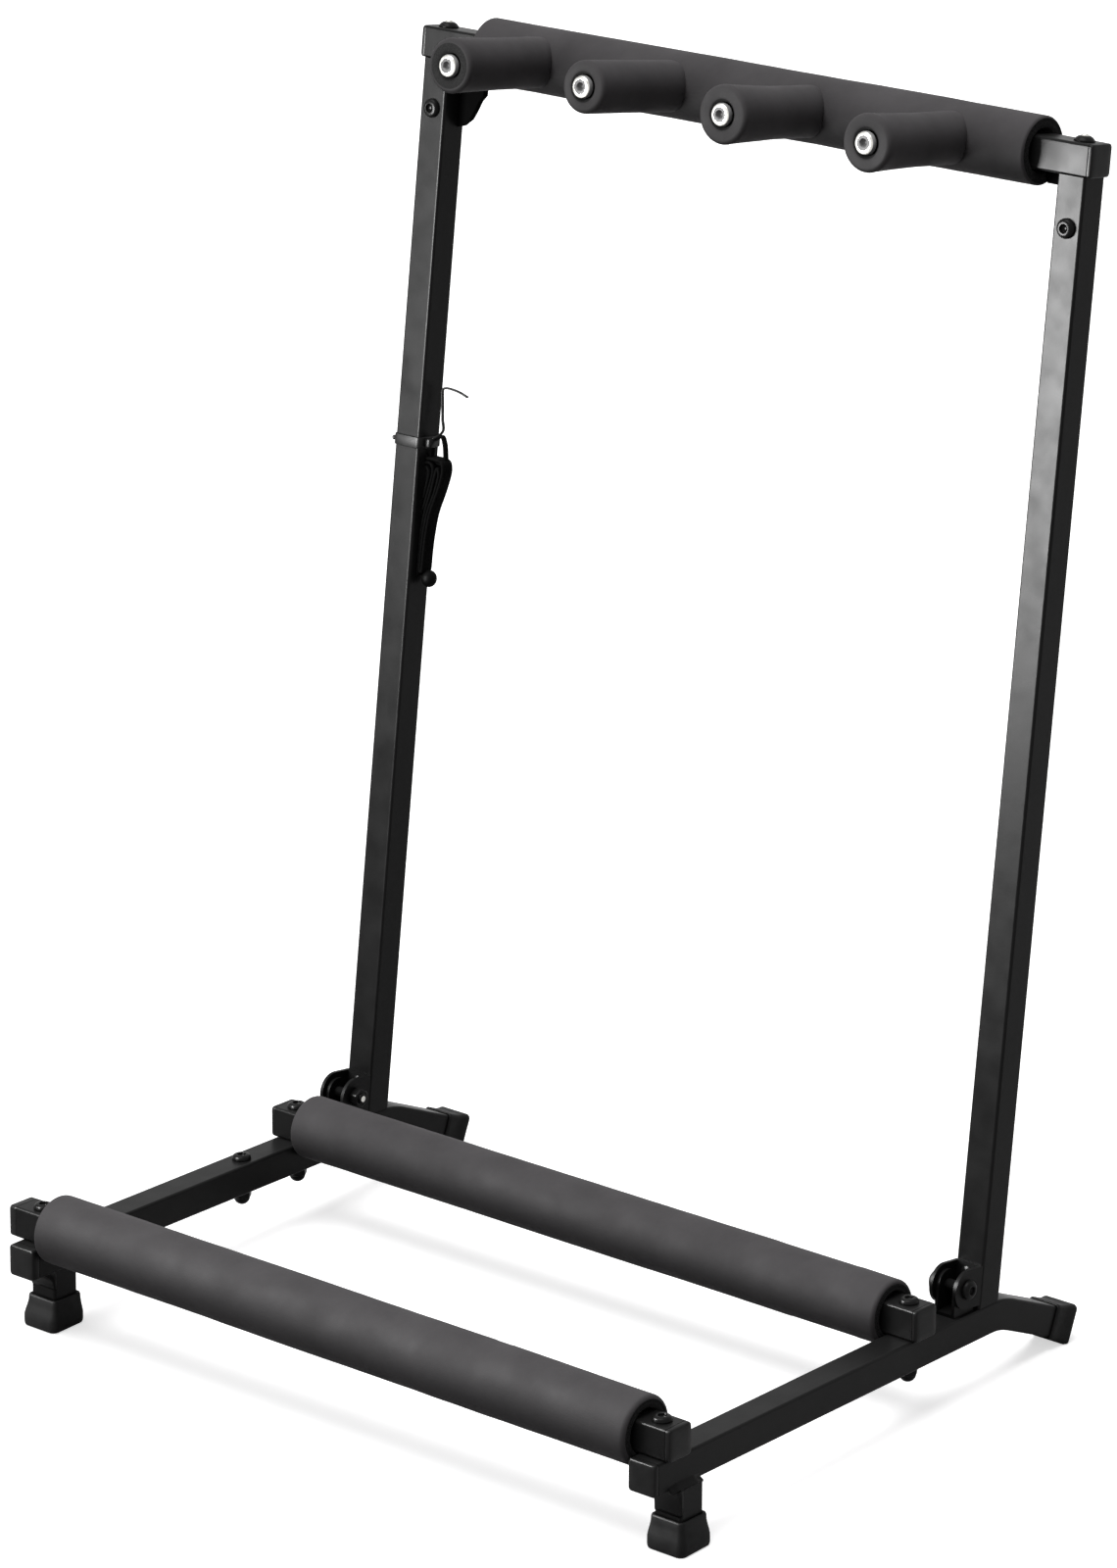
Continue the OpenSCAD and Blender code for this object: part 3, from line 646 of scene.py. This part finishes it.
for finger in FINGERS:
    finger_foam(finger)


# Fasteners, in millimetres

ROUND_STEPS = 48
DOME_STEPS = 8
BOLT_R = 3.0
# Screw heads: width, height, socket across its flats, and socket depth
BUTTON_HEAD = (11, 3, 4.5, 1.7)
FINGER_HEAD = (12.6, 3.8, 4.4, 2.2)
SMALL_HEAD = (4.4, 1.8, 2.2, 0.7)
SMALL_BOLT_R = 1.8
# Shanks. The front crossbar's end inside the side tubes, and the rear one's run through them
FRONT_SHANK = 25
REAR_SHANK = 41
SPARE_SHANK = 24
INSERT_SHANK = 7.5
TOP_SHANK = 26
HINGE_SHANK = 23
FINGER_SHANK = 12
NUT_ACROSS = 10
NUT_H = 5
# How far each socket is turned, in degrees. The finger screws' turn grows along the bar, and the crossbar
# screws' turn differs between the sides and grows towards the back, in degrees per metre
FINGER_TURN = 11
FINGER_TURN_ALONG = 300
BASE_TURN = 20
BASE_TURN_SIDE = 35
BASE_TURN_BACK = 90
INSERT_TURN = 12
# Share of the head's height that stands upright under its dome, and the share of its width inside which the head
# takes its second material, the finger screws' painted shade
WALL = 0.38
FINGER_WALL = 0.6
SOCKET_SHARE = 0.36
# The finger's washer with the collar behind it, as (radius, height)
WASHER = (
    (3.2, -3.5),
    (6.25, -3.5),
    (6.25, -0.3),
    (6.7, 0.1),
    (6.8, 0.8),
    (6.6, 1.0),
    (3.2, 1.0),
    (3.2, -3.5),
)
WASHER_TOP = 1
# The cup on the top bar, and how high in it the screw's head sits
CUP = ((1.9, 0), (5.6, 0), (5.9, 0.25), (5.5, 1.0), (4.4, 2.2), (3.2, 2.9), (2.1, 3.0), (1.9, 0))
CUP_SEAT = 2.0
CUP_STEPS = 40
# The end of the hinge's bolt in its nut
BOLT_END = ((0, 6.0), (1.5, 6.05), (2.2, 5.9), (2.2, 5.2), (0, 5.2))
BOLT_END_STEPS = 24


def on_hexagon(p, across, most=math.inf):
    """Moves a round ring's point onto a hexagon, and no further out than the radius most."""
    sixth = math.pi / 3
    a = math.atan2(p.y, p.x)
    turned = math.fmod(a + 12 * sixth, sixth) - sixth / 2
    r = min(across / 2 / math.cos(turned), most) * MM
    return Vector((r * math.cos(a), r * math.sin(a), p.z))


def screw(bm, place, head, shank, bolt_r=BOLT_R, wall=WALL):
    """Button-head screw with a hexagon socket. The head stands on local z = 0."""
    width, height, socket, depth = head
    rim = width / 2
    # Shank with a chamfered end, the head's underside, and its upright wall
    profile = [
        (0, -shank),
        (bolt_r - 0.4, -shank),
        (bolt_r, -shank + 0.5),
        (bolt_r, 0),
        (rim - 0.35, 0),
        (rim - 0.1, 0.1),
        (rim, 0.35),
        (rim, height * (wall - 0.08)),
        (rim - 0.08, height * (wall - 0.02)),
    ]
    dome = len(profile) + 1
    flat = socket * 0.62
    for i in range(1, DOME_STEPS + 1):
        a = math.pi / 2 * i / DOME_STEPS
        r = flat + (rim - 0.15 - flat) * math.cos(a) ** 0.9
        profile.append((r, height * wall + height * (1 - wall) * math.sin(a)))
    # Flat round the socket, then the socket with a pointed floor
    profile += [(flat * 0.98, height), (socket * 0.56, height - 0.1)]
    first_flat = len(profile)
    profile += [
        (socket / 2, height - 0.35),
        (socket / 2, height - depth * 0.5),
        (socket / 2, height - depth),
        (0, height - depth - 0.4),
    ]

    def material_at(k):
        """The second material on all that lies under the dome, and in the socket, which on the finger screws is a
        darker zinc as painted shade.
        """
        return int(k < dome or profile[k][0] < SOCKET_SHARE * width)

    def wobble(p, k):
        return p if k < first_flat else on_hexagon(p, socket)

    lathe(bm, metres(profile), place, ROUND_STEPS, material_at, wobble)


def nut(bm, place, domed=False):
    """Chamfered hexagon nut on local z = 0, with the bolt's end or a dome."""
    corner = NUT_ACROSS / 2 / math.cos(math.pi / 6)
    profile = [
        (0, 0),
        (corner - 0.9, 0),
        (corner - 0.35, 0.25),
        (corner, 0.7),
        (corner, NUT_H - 0.8),
        (corner - 0.4, NUT_H - 0.3),
        (corner - 1.0, NUT_H),
    ]
    first_round = len(profile)
    if domed:
        rise = NUT_ACROSS * 0.45
        for i in range(DOME_STEPS):
            a = math.pi / 2 * i / DOME_STEPS
            profile.append((NUT_ACROSS * 0.47 * math.cos(a), NUT_H + rise * math.sin(a)))
        profile.append((0, NUT_H + rise))
    else:
        profile += [
            (BOLT_R + 0.7, NUT_H),
            (BOLT_R + 0.1, NUT_H - 0.5),
            (BOLT_R, NUT_H - 0.4),
            (BOLT_R, NUT_H + 0.5),
            (BOLT_R - 0.5, NUT_H + 1.0),
            (0, NUT_H + 1.0),
        ]

    def wobble(p, k):
        return p if k >= first_round else on_hexagon(p, NUT_ACROSS, profile[k][0])

    lathe(bm, metres(profile), place, ROUND_STEPS, None, wobble)


def add_finger_bolts():
    bm = bmesh.new()
    ring = bmesh.new()
    for index, x in enumerate(finger_xs):
        seat = finger_frame(index) @ shift(0, 0, FINGER_TIP[index] * MM)
        place = seat @ shift(0, 0, WASHER_TOP * MM) @ turn(FINGER_TURN + FINGER_TURN_ALONG * x, "Z")
        screw(bm, place, FINGER_HEAD, FINGER_SHANK, wall=FINGER_WALL)
        lathe(ring, metres(WASHER), seat, ROUND_STEPS)
    # Bright zinc on the dome's outer ring, and the darker zinc as painted shade under the dome and in the socket
    o = new_object("finger_button_screws", bm, [bright_zinc, painted_shade_zinc], "mast")
    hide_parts("finger_bolts")
    # The washers take the near-black paint as painted shade, for the shade in the foam's dish round the screw
    o = new_object("finger_plain_washers", ring, [painted_shade_black], "mast")
    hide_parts("finger_washers")


def add_base_bolts():
    bm = bmesh.new()
    for side in (-1, 1):
        for y, shank in ((0, FRONT_SHANK), (REAR_BAR_Y, REAR_SHANK)):
            seat = BASE @ shift(side * HALF_W, y, SIDE_TOP + TUBE * MM)
            turned = BASE_TURN + BASE_TURN_SIDE * side + BASE_TURN_BACK * y
            screw(bm, seat @ turn(turned, "Z"), BUTTON_HEAD, shank)
    o = new_object("crossbar_button_screws", bm, [black_zinc, black_zinc], "base")
    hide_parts("crossbar_bolts")
    under = SIDE_TOP - TUBE * MM
    bm = bmesh.new()
    screw(bm, BASE @ shift(-HALF_W, SPARE_Y, SIDE_TOP), BUTTON_HEAD, SPARE_SHANK)
    nut(bm, BASE @ shift(-HALF_W, SPARE_Y, under) @ turn(180, "X"), True)
    o = new_object("spare_button_screw", bm, [black_zinc, black_zinc], "base")
    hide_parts("spare_bolt")
    bm = bmesh.new()
    for side in (-1, 1):
        nut(bm, BASE @ shift(side * HALF_W, REAR_BAR_Y, under) @ turn(180, "X"), True)
    o = new_object("domed_nuts", bm, [black_zinc], "base")
    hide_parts("acorn_nuts")


def add_mast_bolts():
    bm = bmesh.new()
    for side in (-1, 1):
        seat = MAST @ shift(side * HALF_W, -TUBE / 2 * MM, INSERT_U)
        screw(bm, seat @ turn(90, "X") @ turn(INSERT_TURN, "Z"), BUTTON_HEAD, INSERT_SHANK)
    o = new_object("insert_button_screws", bm, [black_zinc, black_zinc], "mast")
    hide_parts("insert_bolts")
    bright = bmesh.new()
    flange = bmesh.new()
    for side in (-1, 1):
        place = MAST @ shift(side * HALF_W, 0, BAR_U + TUBE / 2 * MM)
        screw(bright, place @ shift(0, 0, CUP_SEAT * MM), SMALL_HEAD, TOP_SHANK, SMALL_BOLT_R)
        lathe(flange, metres(CUP), place, CUP_STEPS)
    o = new_object("top_bar_screws", bright, [bright_zinc, bright_zinc], "mast")
    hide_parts("top_bolts")
    new_object("top_bar_screw_cups", flange, [black_zinc], "mast")


def add_hinge_fasteners():
    for side, label in SIDES:
        bm = bmesh.new()
        seat = BASE @ shift(side * (HALF_W + TUBE / 2 * MM), PIN.y, PIN.z)
        screw(bm, seat @ turn(side * 90, "Y"), BUTTON_HEAD, HINGE_SHANK)
        o = new_object("hinge_screw_" + label, bm, [black_zinc, black_zinc], "mast")
        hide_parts("hinge_pin_" + label)
    bm = bmesh.new()
    ends = bmesh.new()
    for side in (-1, 1):
        place = BASE @ shift(side * (HALF_W - TUBE / 2 * MM), PIN.y, PIN.z) @ turn(-side * 90, "Y")
        nut(bm, place)
        lathe(ends, metres(BOLT_END), place, BOLT_END_STEPS)
    o = new_object("hinge_lock_nuts", bm, [black_zinc], "mast")
    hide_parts("hinge_nuts")
    new_object("hinge_screw_ends", ends, [bright_zinc], "mast")


add_finger_bolts()
add_base_bolts()
add_mast_bolts()
add_hinge_fasteners()


# Plugs in the tubes' ends, as (width, corner radius, height) in millimetres

PLUG_RIM = ((15.2, 0.5, -5), (15.2, 0.5, 0.05), (17.5, 1.4, 0.05), (17.9, 1.5, 0.3), (18.0, 1.6, 0.9))
PLUG_HEAD = (
    (17.95, 1.7, 2.0),
    (17.6, 1.9, 2.55),
    (17.0, 2.1, 2.85),
    (16.0, 2.2, 3.0),
    (11, 2.2, 3.1),
    (5, 2.0, 3.15),
)
# How much further out the heads of the two plugs at each front corner stand
FRONT_PROUD = {"left": 2.5, "right": 0.5}


def plug(node_name, body, place, proud=0.0):
    rings = square_rings(PLUG_RIM)
    rings += square_rings([(w, r, z + proud) for w, r, z in PLUG_HEAD])
    bm = bmesh.new()
    loft(bm, rings, place)
    o = new_object(node_name + "_cap", bm, [plug_plastic], body)
    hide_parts(node_name)


def add_plugs(side, label):
    proud = FRONT_PROUD[label]
    outward = turn(side * 90, "Y")
    front = shift(bar_end("front_crossbar", side), 0, BAR_AXIS_Z)
    rear = shift(bar_end("rear_crossbar", side), REAR_BAR_Y, BAR_AXIS_Z)
    top = shift(bar_end("top_bar", side), 0, BAR_U)
    tube = shift(side * HALF_W, SIDE_FRONT_Y, SIDE_AXIS_Z)
    plug("side_plug_" + label, "base", BASE @ tube @ turn(90, "X"), proud)
    plug("front_bar_plug_" + label, "base", BASE @ front @ outward, proud)
    plug("rear_bar_plug_" + label, "base", BASE @ rear @ outward)
    plug("top_plug_" + label, "mast", MAST @ top @ outward)


for side, label in SIDES:
    add_plugs(side, label)


# Rubber feet, as (width, corner radius, height) in millimetres

FRONT_BOOT = (
    (18.3, 1.6, 15.5), (18.5, 1.7, 18.0), (19.6, 2.4, 18.5), (21.3, 2.8, 18.3), (22.0, 3.0, 17.4),
    (22.3, 3.1, 14.8), (23.2, 3.4, 12.2), (24.6, 3.8, 9.2), (25.6, 4.2, 6.6), (25.8, 4.4, 4.4),
    (25.7, 4.2, 2.4), (25.3, 4.0, 1.0), (24.7, 3.8, 0.3), (24.0, 3.7, 0.0), (12, 3, 0.0),
)
BOOT_STEPS = 8
# How far each boot leans along x, and the height from which it leans and the stretch it takes
BOOT_LEAN = {"left": -1.0, "right": 0.0}
BOOT_LEAN_FROM = 15.0
BOOT_LEAN_OVER = 9.0
# Height over which the boot turns level with the floor
BOOT_LEVEL = 8 * MM
REAR_CAP = (
    (18.2, 1.5, 12.0), (18.3, 1.6, 8.2), (19.4, 1.9, 8.0), (20.2, 2.2, 8.5), (20.3, 2.3, 10.5),
    (20.2, 2.3, 14.0), (20.6, 2.4, 17.0), (21.8, 2.6, 19.8), (23.2, 2.8, 22.2), (23.6, 2.9, 23.4),
    (23.3, 2.9, 24.4), (22.3, 2.8, 25.0), (18, 2.6, 25.2), (9, 2.5, 25.2),
)
# The side tube bends down into the rear leg: the bend's angle, its radius in mm, and how far ahead of the
# uprights' back faces it starts
BEND_DEGREES = 23.0
BEND_R = 45
BEND_LEAD = 5
# Length of the straight leg to where the cap's heights start
REAR_LEG = 33 * MM


def held_above(p, z):
    """The point at height z, or on the floor where z is under it."""
    return Vector((p.x, p.y, max(0.0, z)))


def front_foot(side, label):
    """Boot on the front leg, with its sole flat on the floor."""

    def level(world, local):
        share = min(1.0, max(0.0, local.z / BOOT_LEVEL))
        return held_above(world, world.z * share + local.z * (1 - share))

    rings = []
    for w, r, z in FRONT_BOOT:
        aside = BOOT_LEAN[label] * min(1.0, max(0.0, (BOOT_LEAN_FROM - z) / BOOT_LEAN_OVER))
        rings.append(rounded_ring(w, w, r, z, BOOT_STEPS, aside))
    bm = bmesh.new()
    loft(bm, rings, BASE @ shift(side * (HALF_W + LEG_OUT), LEG_SETBACK, 0), level)
    o = new_object("front_foot_boot_" + label, bm, [foot_rubber], "base")
    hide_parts("front_foot_" + label)


def rear_foot(side, label):
    """Cap on the end of the rear leg, flattened where it meets the floor."""
    bend = math.radians(BEND_DEGREES)
    bend_y = FOOT_Y + (TUBE / 2 / math.cos(math.radians(LEAN_DEGREES)) - BEND_LEAD) * MM
    leg_y = bend_y + BEND_R * MM * math.sin(bend)
    leg_z = SIDE_AXIS_Z - BEND_R * MM * (1 - math.cos(bend))
    leg = BASE @ shift(side * HALF_W, leg_y, leg_z) @ turn(-90 - BEND_DEGREES, "X")
    bm = bmesh.new()
    cap = leg @ shift(0, 0, REAR_LEG)
    loft(bm, square_rings(REAR_CAP), cap, lambda world, local: held_above(world, world.z))
    o = new_object("rear_foot_cap_" + label, bm, [foot_rubber], "base")
    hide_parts("rear_foot_" + label)


for side, label in SIDES:
    front_foot(side, label)
    rear_foot(side, label)


# Weld fillets at the front legs, in millimetres

# The web's reach forward along the side tube and its drop down the leg
WEB_REACH = {"left": 14, "right": 5}
WEB_DROP = {"left": 12, "right": 16}
WEB_STEPS = 10
# The web's sides, and where and by how much its outline draws in towards them, which rounds its edges
WEB_HALF_W = 9.0
WEB_EDGE_W = 8.3
WEB_SHRINK = 0.5
# Just inside the side tube's underside, just ahead of the leg's front face, and well inside the leg
WEB_TOP = 36.6
WEB_FACE = 1.4
WEB_BACK = 3
# The bead's stations along the leg's top, where its two ends are lower
BEAD_YS = (-5, 1.5, 8, 14, 19.3)
BEAD_RISE = 3.0
BEAD_END_RISE = 2.2


def web_ring(x, reach, drop, shrink):
    """Outline of the web at x: two corners in the leg, and a concave arc from the leg to the tube."""
    low = WEB_TOP - drop + shrink
    ring = [Vector((x, WEB_BACK, WEB_TOP + 0.2)), Vector((x, WEB_BACK, low))]
    for i in range(WEB_STEPS + 1):
        a = math.pi / 2 * i / WEB_STEPS
        y = WEB_FACE - reach * (1 - math.cos(a)) + shrink * 0.5
        z = low + (drop - shrink) * math.sin(a)
        ring.append(Vector((x, y, min(z, WEB_TOP))))
    return [v * MM for v in ring]


def bead_ring(y, rise):
    """Outline of the weld bead at y, from inside the side tube's outer face to the leg's outer face."""
    pairs = (
        (8.6, 35.6),
        (12, 35.6),
        (12, 36.8),
        (10.4, 37.2 + rise * 0.2),
        (9.2, 37.8 + rise * 0.6),
        (8.6, 37.8 + rise),
    )
    return [Vector((x, y, z)) * MM for x, z in pairs]


def leg_fillet(side, label):
    """Concave web from the side tube's underside down the leg's front face, and the bead beside the tube."""
    web = []
    for x, shrink in (
        (-WEB_HALF_W, WEB_SHRINK),
        (-WEB_EDGE_W, 0.0),
        (WEB_EDGE_W, 0.0),
        (WEB_HALF_W, WEB_SHRINK),
    ):
        web.append(web_ring(x, WEB_REACH[label], WEB_DROP[label], shrink))
    bead = []
    for y in BEAD_YS:
        middle = BEAD_YS[0] < y < BEAD_YS[-1]
        bead.append(bead_ring(y, BEAD_RISE if middle else BEAD_END_RISE))
    bm = bmesh.new()
    loft(bm, web, BASE @ shift(side * (HALF_W + LEG_OUT), 0, 0))
    loft(bm, bead, BASE @ shift(side * HALF_W, 0, 0) @ Matrix.Diagonal((side, 1, 1, 1)))
    new_object("leg_fillet_" + label, bm, [paint], "base")


for side, label in SIDES:
    leg_fillet(side, label)


# Cable tie, storage strap and bead on the left upright, in millimetres. Points are (x, back, up)

UPRIGHT_X = -HALF_W / MM
INNER_FACE = UPRIGHT_X + TUBE / 2
TIE_U = 398.3
# Half the width of the tie's loop round the tube, its corners' radius, and the band's width and thickness
TIE_REACH = 9.5
TIE_CORNER = 2.2
TIE_CORNER_STEPS = 5
TIE_BAND = (6.6, 0.9)
# The ratchet head on the inner face, as (width, depth, height), and its place from the upright's axis
TIE_HEAD = ((4.4, 5.6, 0), (5.4, 6.6, 0.6), (5.4, 6.6, 3.4), (4.4, 5.6, 4.2))
TIE_HEAD_AT = (9.2, -1.5)
# The knob that shows at the far corner, as (width, height), and its place
TIE_KNOB = ((1.6, 0), (2.8, 0.7), (2.8, 1.8), (1.6, 2.6))
TIE_KNOB_AT = (-9.4, -7.6)
# The tie's free end goes straight up, then over in a long curl away from the upright
TIE_END_BAND = (2.2, 1.2)
TIE_END = (
    (3.4, -1.5, 2), (7.0, 3, 7), (6.2, 3, 14), (5.4, 3, 22), (4.6, 3, 29.5),
    (5.2, 3, 31.6), (8.0, 3, 32.4), (13.0, 3, 32.2), (18.0, 3, 31.4), (23.5, 3, 29.8),
)
# The strap hangs from here by its loop
STRAP_TOP = 395.7
STRAP_LOOP_BAND = (4.0, 1.7)
STRAP_LOOP = (
    (3, 1, 4), (7.6, 2, 7.0), (10.2, 2, 3.0), (11.4, 2, -3), (11.8, 2, -8.0),
    (9.0, 2, -9.0), (5, 2, -8.6), (2.4, 1, -6.8), (2.0, 1, -2), (3, 1, 4),
)
# The webbing is folded down, up and down again, with two short folds inside, as (x, up)
STRAP_RUNS = (
    (
        (1.0, -6.4), (6.0, -6.3), (12.0, -7.0), (13.7, -11), (13.2, -16), (10.8, -25), (6.6, -38),
        (4.7, -51), (4.0, -62), (3.8, -71.0), (3.0, -72.6), (2.1, -71.0), (2.1, -62), (2.8, -50),
        (4.7, -38), (8.7, -26), (11.0, -16), (10.4, -12.2), (9.4, -11.4), (8.4, -14), (6.2, -25),
        (2.8, -38), (1.1, -50), (0.9, -62), (0.9, -75),
    ),
    ((1.0, -8.4), (5.0, -9.6), (6.4, -14), (4.4, -24), (1.0, -37)),
    ((0.9, -11), (3.4, -14.0), (2.6, -21), (0.8, -30)),
)
# The outermost run's width and place, and how much narrower and further forward each next one is
STRAP_W = 9.0
STRAP_W_STEP = 0.7
STRAP_V = 1.2
STRAP_V_STEP = 0.3
STRAP_THICK = 1.8
BEAD_R = 4.6
BEAD_HALF_H = 5.0
BEAD_AT = (6.0, 2, -76.5)
BEAD_STEPS = 32
BEAD_RINGS = 12


def mast_point(x, v, u):
    return MAST @ (Vector((x, v, u)) * MM)


def mast_path(x, u, points):
    """Smooth path through points that are given from x and u on the mast."""
    return smooth_path([mast_point(x + a, v, u + b) for a, v, b in points])


def tie_place(at, degrees):
    """Frame at a place on the tie that faces left or right."""
    x, v = at
    return MAST @ shift((UPRIGHT_X + x) * MM, v * MM, TIE_U * MM) @ turn(degrees, "Y")


def cable_tie():
    """Band round the tube, with its head, the knob at the far corner, and its free end."""
    points = []
    for sx, sy, start in CORNERS:
        for i in range(TIE_CORNER_STEPS + 1):
            a = math.radians(start + 90 * i / TIE_CORNER_STEPS)
            x = UPRIGHT_X + sx * (TIE_REACH - TIE_CORNER) + TIE_CORNER * math.cos(a)
            y = sy * (TIE_REACH - TIE_CORNER) + TIE_CORNER * math.sin(a)
            points.append(mast_point(x, y, TIE_U))
    points.append(points[0])
    bm = bmesh.new()
    sweep(bm, points, MAST_UP, flat_section(*TIE_BAND))
    head = [rounded_ring(w, d, 1.0, z, 3) for w, d, z in TIE_HEAD]
    loft(bm, head, tie_place(TIE_HEAD_AT, 90))
    knob = square_rings([(w, w * 0.45, z) for w, z in TIE_KNOB], 3)
    loft(bm, knob, tie_place(TIE_KNOB_AT, -90))
    sweep(bm, mast_path(INNER_FACE, TIE_U, TIE_END), MAST_BACK, flat_section(*TIE_END_BAND, 3))
    o = new_object("cable_tie_band", bm, [nylon], "mast")
    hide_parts("cable_tie")


def storage_strap():
    """The loop that hangs from the tie, and the folded webbing."""
    bm = bmesh.new()
    loop = mast_path(INNER_FACE, STRAP_TOP, STRAP_LOOP)
    sweep(bm, loop, MAST_BACK, flat_section(*STRAP_LOOP_BAND, 3))
    for i, run in enumerate(STRAP_RUNS):
        v = STRAP_V - STRAP_V_STEP * i
        path = mast_path(INNER_FACE, STRAP_TOP, [(x, v, u) for x, u in run])
        sweep(bm, path, MAST_BACK, flat_section(STRAP_W - i * STRAP_W_STEP, STRAP_THICK))
    o = new_object("folded_strap", bm, [strap_cloth], "mast")
    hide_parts("storage_strap")


def strap_bead():
    profile = [(0, -BEAD_HALF_H)]
    for i in range(1, BEAD_RINGS):
        a = math.pi * i / BEAD_RINGS
        profile.append((BEAD_R * math.sin(a), -BEAD_HALF_H * math.cos(a)))
    profile.append((0, BEAD_HALF_H))
    x, v, u = BEAD_AT
    bm = bmesh.new()
    place = MAST @ shift((INNER_FACE + x) * MM, v * MM, (STRAP_TOP + u) * MM)
    lathe(bm, metres(profile), place, BEAD_STEPS)
    o = new_object("strap_end_bead", bm, [bead_plastic], "mast")
    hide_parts("strap_bead")


cable_tie()
storage_strap()
strap_bead()


# Studio

WHITE = (1, 1, 1, 1)
# The floor's half width and height. The paper's shade, its glow to the camera, and its shade to the stand
FLOOR_HALF = 30
FLOOR_Z = -0.0002
FLOOR_WHITE = 0.93
FLOOR_LIFT = 0.6
FLOOR_BOUNCE = 0.06
# The world's strength as fill light and as it shows in gloss
WORLD_FILL = 0.28
FILL_TINT = (1, 0.985, 1.0, 1)
WORLD_GLOSS = 1.0
SUN_DIRECTION = Vector((0.15, 0.25, -1.0))
SUN_STRENGTH = 2.8
SUN_DEGREES = 45
PANEL_AT = Vector((-0.45, -0.69, 0.585))
PANEL_TOWARDS = Vector((0.22, 0.12, 0.60))
PANEL_SIZE = (0.40, 0.52)
PANEL_WATTS = 84.0


def light_path_mix(tree, flag, off, on):
    """Mixes two shaders by a light path flag."""
    path = tree.nodes.new("ShaderNodeLightPath")
    mix = tree.nodes.new("ShaderNodeMixShader")
    tree.links.new(path.outputs[flag], mix.inputs["Fac"])
    tree.links.new(off, mix.inputs[1])
    tree.links.new(on, mix.inputs[2])
    return mix.outputs[0]


def glow(tree, kind, colour, strength):
    """Emission or background shader of one colour."""
    n = tree.nodes.new(kind)
    n.inputs["Color"].default_value = colour
    n.inputs["Strength"].default_value = strength
    return n.outputs[0]


def diffuse(tree, shade):
    n = tree.nodes.new("ShaderNodeBsdfDiffuse")
    n.inputs["Color"].default_value = grey(shade)
    return n.outputs[0]


def floor_paper():
    """White paper to the camera, which gives little light back to the stand."""
    m = bpy.data.materials.new("floor_paper")
    m.use_nodes = True
    t = m.node_tree
    t.nodes.clear()
    out = t.nodes.new("ShaderNodeOutputMaterial")
    paper = diffuse(t, FLOOR_WHITE)
    lifted = t.nodes.new("ShaderNodeAddShader")
    t.links.new(paper, lifted.inputs[0])
    t.links.new(glow(t, "ShaderNodeEmission", WHITE, FLOOR_LIFT), lifted.inputs[1])
    unseen = light_path_mix(t, "Is Diffuse Ray", paper, diffuse(t, FLOOR_BOUNCE))
    seen = light_path_mix(t, "Is Camera Ray", unseen, lifted.outputs[0])
    t.links.new(seen, out.inputs["Surface"])
    return m


def add_floor():
    bm = bmesh.new()
    corners = ((-1, -1), (1, -1), (1, 1), (-1, 1))
    bm.faces.new([bm.verts.new((sx * FLOOR_HALF, sy * FLOOR_HALF, FLOOR_Z)) for sx, sy in corners])
    mesh = bpy.data.meshes.new("floor")
    bm.to_mesh(mesh)
    bm.free()
    mesh.materials.append(floor_paper())
    floor = bpy.data.objects.new("floor", mesh)
    bpy.context.scene.collection.objects.link(floor)


def add_world():
    """White to the camera and in gloss, and a dim fill for all other light."""
    world = bpy.data.worlds.new("studio")
    bpy.context.scene.world = world
    world.use_nodes = True
    t = world.node_tree
    t.nodes.clear()
    out = t.nodes.new("ShaderNodeOutputWorld")
    white = glow(t, "ShaderNodeBackground", WHITE, 1.0)
    fill = glow(t, "ShaderNodeBackground", FILL_TINT, WORLD_FILL)
    gloss = glow(t, "ShaderNodeBackground", WHITE, WORLD_GLOSS)
    shade = light_path_mix(t, "Is Glossy Ray", fill, gloss)
    shade = light_path_mix(t, "Is Transmission Ray", shade, white)
    shade = light_path_mix(t, "Is Camera Ray", shade, white)
    t.links.new(shade, out.inputs["Surface"])


def add_light(name, data, at, back):
    """Puts a light at a place, with its back to a direction."""
    back = back.normalized()
    right = Vector((0, 0, 1)).cross(back).normalized()
    o = bpy.data.objects.new(name, data)
    o.matrix_world = Matrix.Translation(at) @ oriented(right, back.cross(right), back)
    bpy.context.scene.collection.objects.link(o)
    return o


def add_sun():
    data = bpy.data.lights.new("top_sun", "SUN")
    data.energy = SUN_STRENGTH
    data.angle = math.radians(SUN_DEGREES)
    add_light("top_sun", data, Vector(), -SUN_DIRECTION)


def add_panel():
    """Panel that shows in the gloss of paint and foam, and doesn't light them otherwise."""
    data = bpy.data.lights.new("left_panel", "AREA")
    data.shape = "RECTANGLE"
    data.size, data.size_y = PANEL_SIZE
    data.energy = PANEL_WATTS
    panel = add_light("left_panel", data, PANEL_AT, PANEL_AT - PANEL_TOWARDS)
    panel.visible_camera = False
    panel.visible_diffuse = False


add_floor()
add_world()
add_sun()
add_panel()
bpy.context.scene.view_settings.view_transform = "Standard"
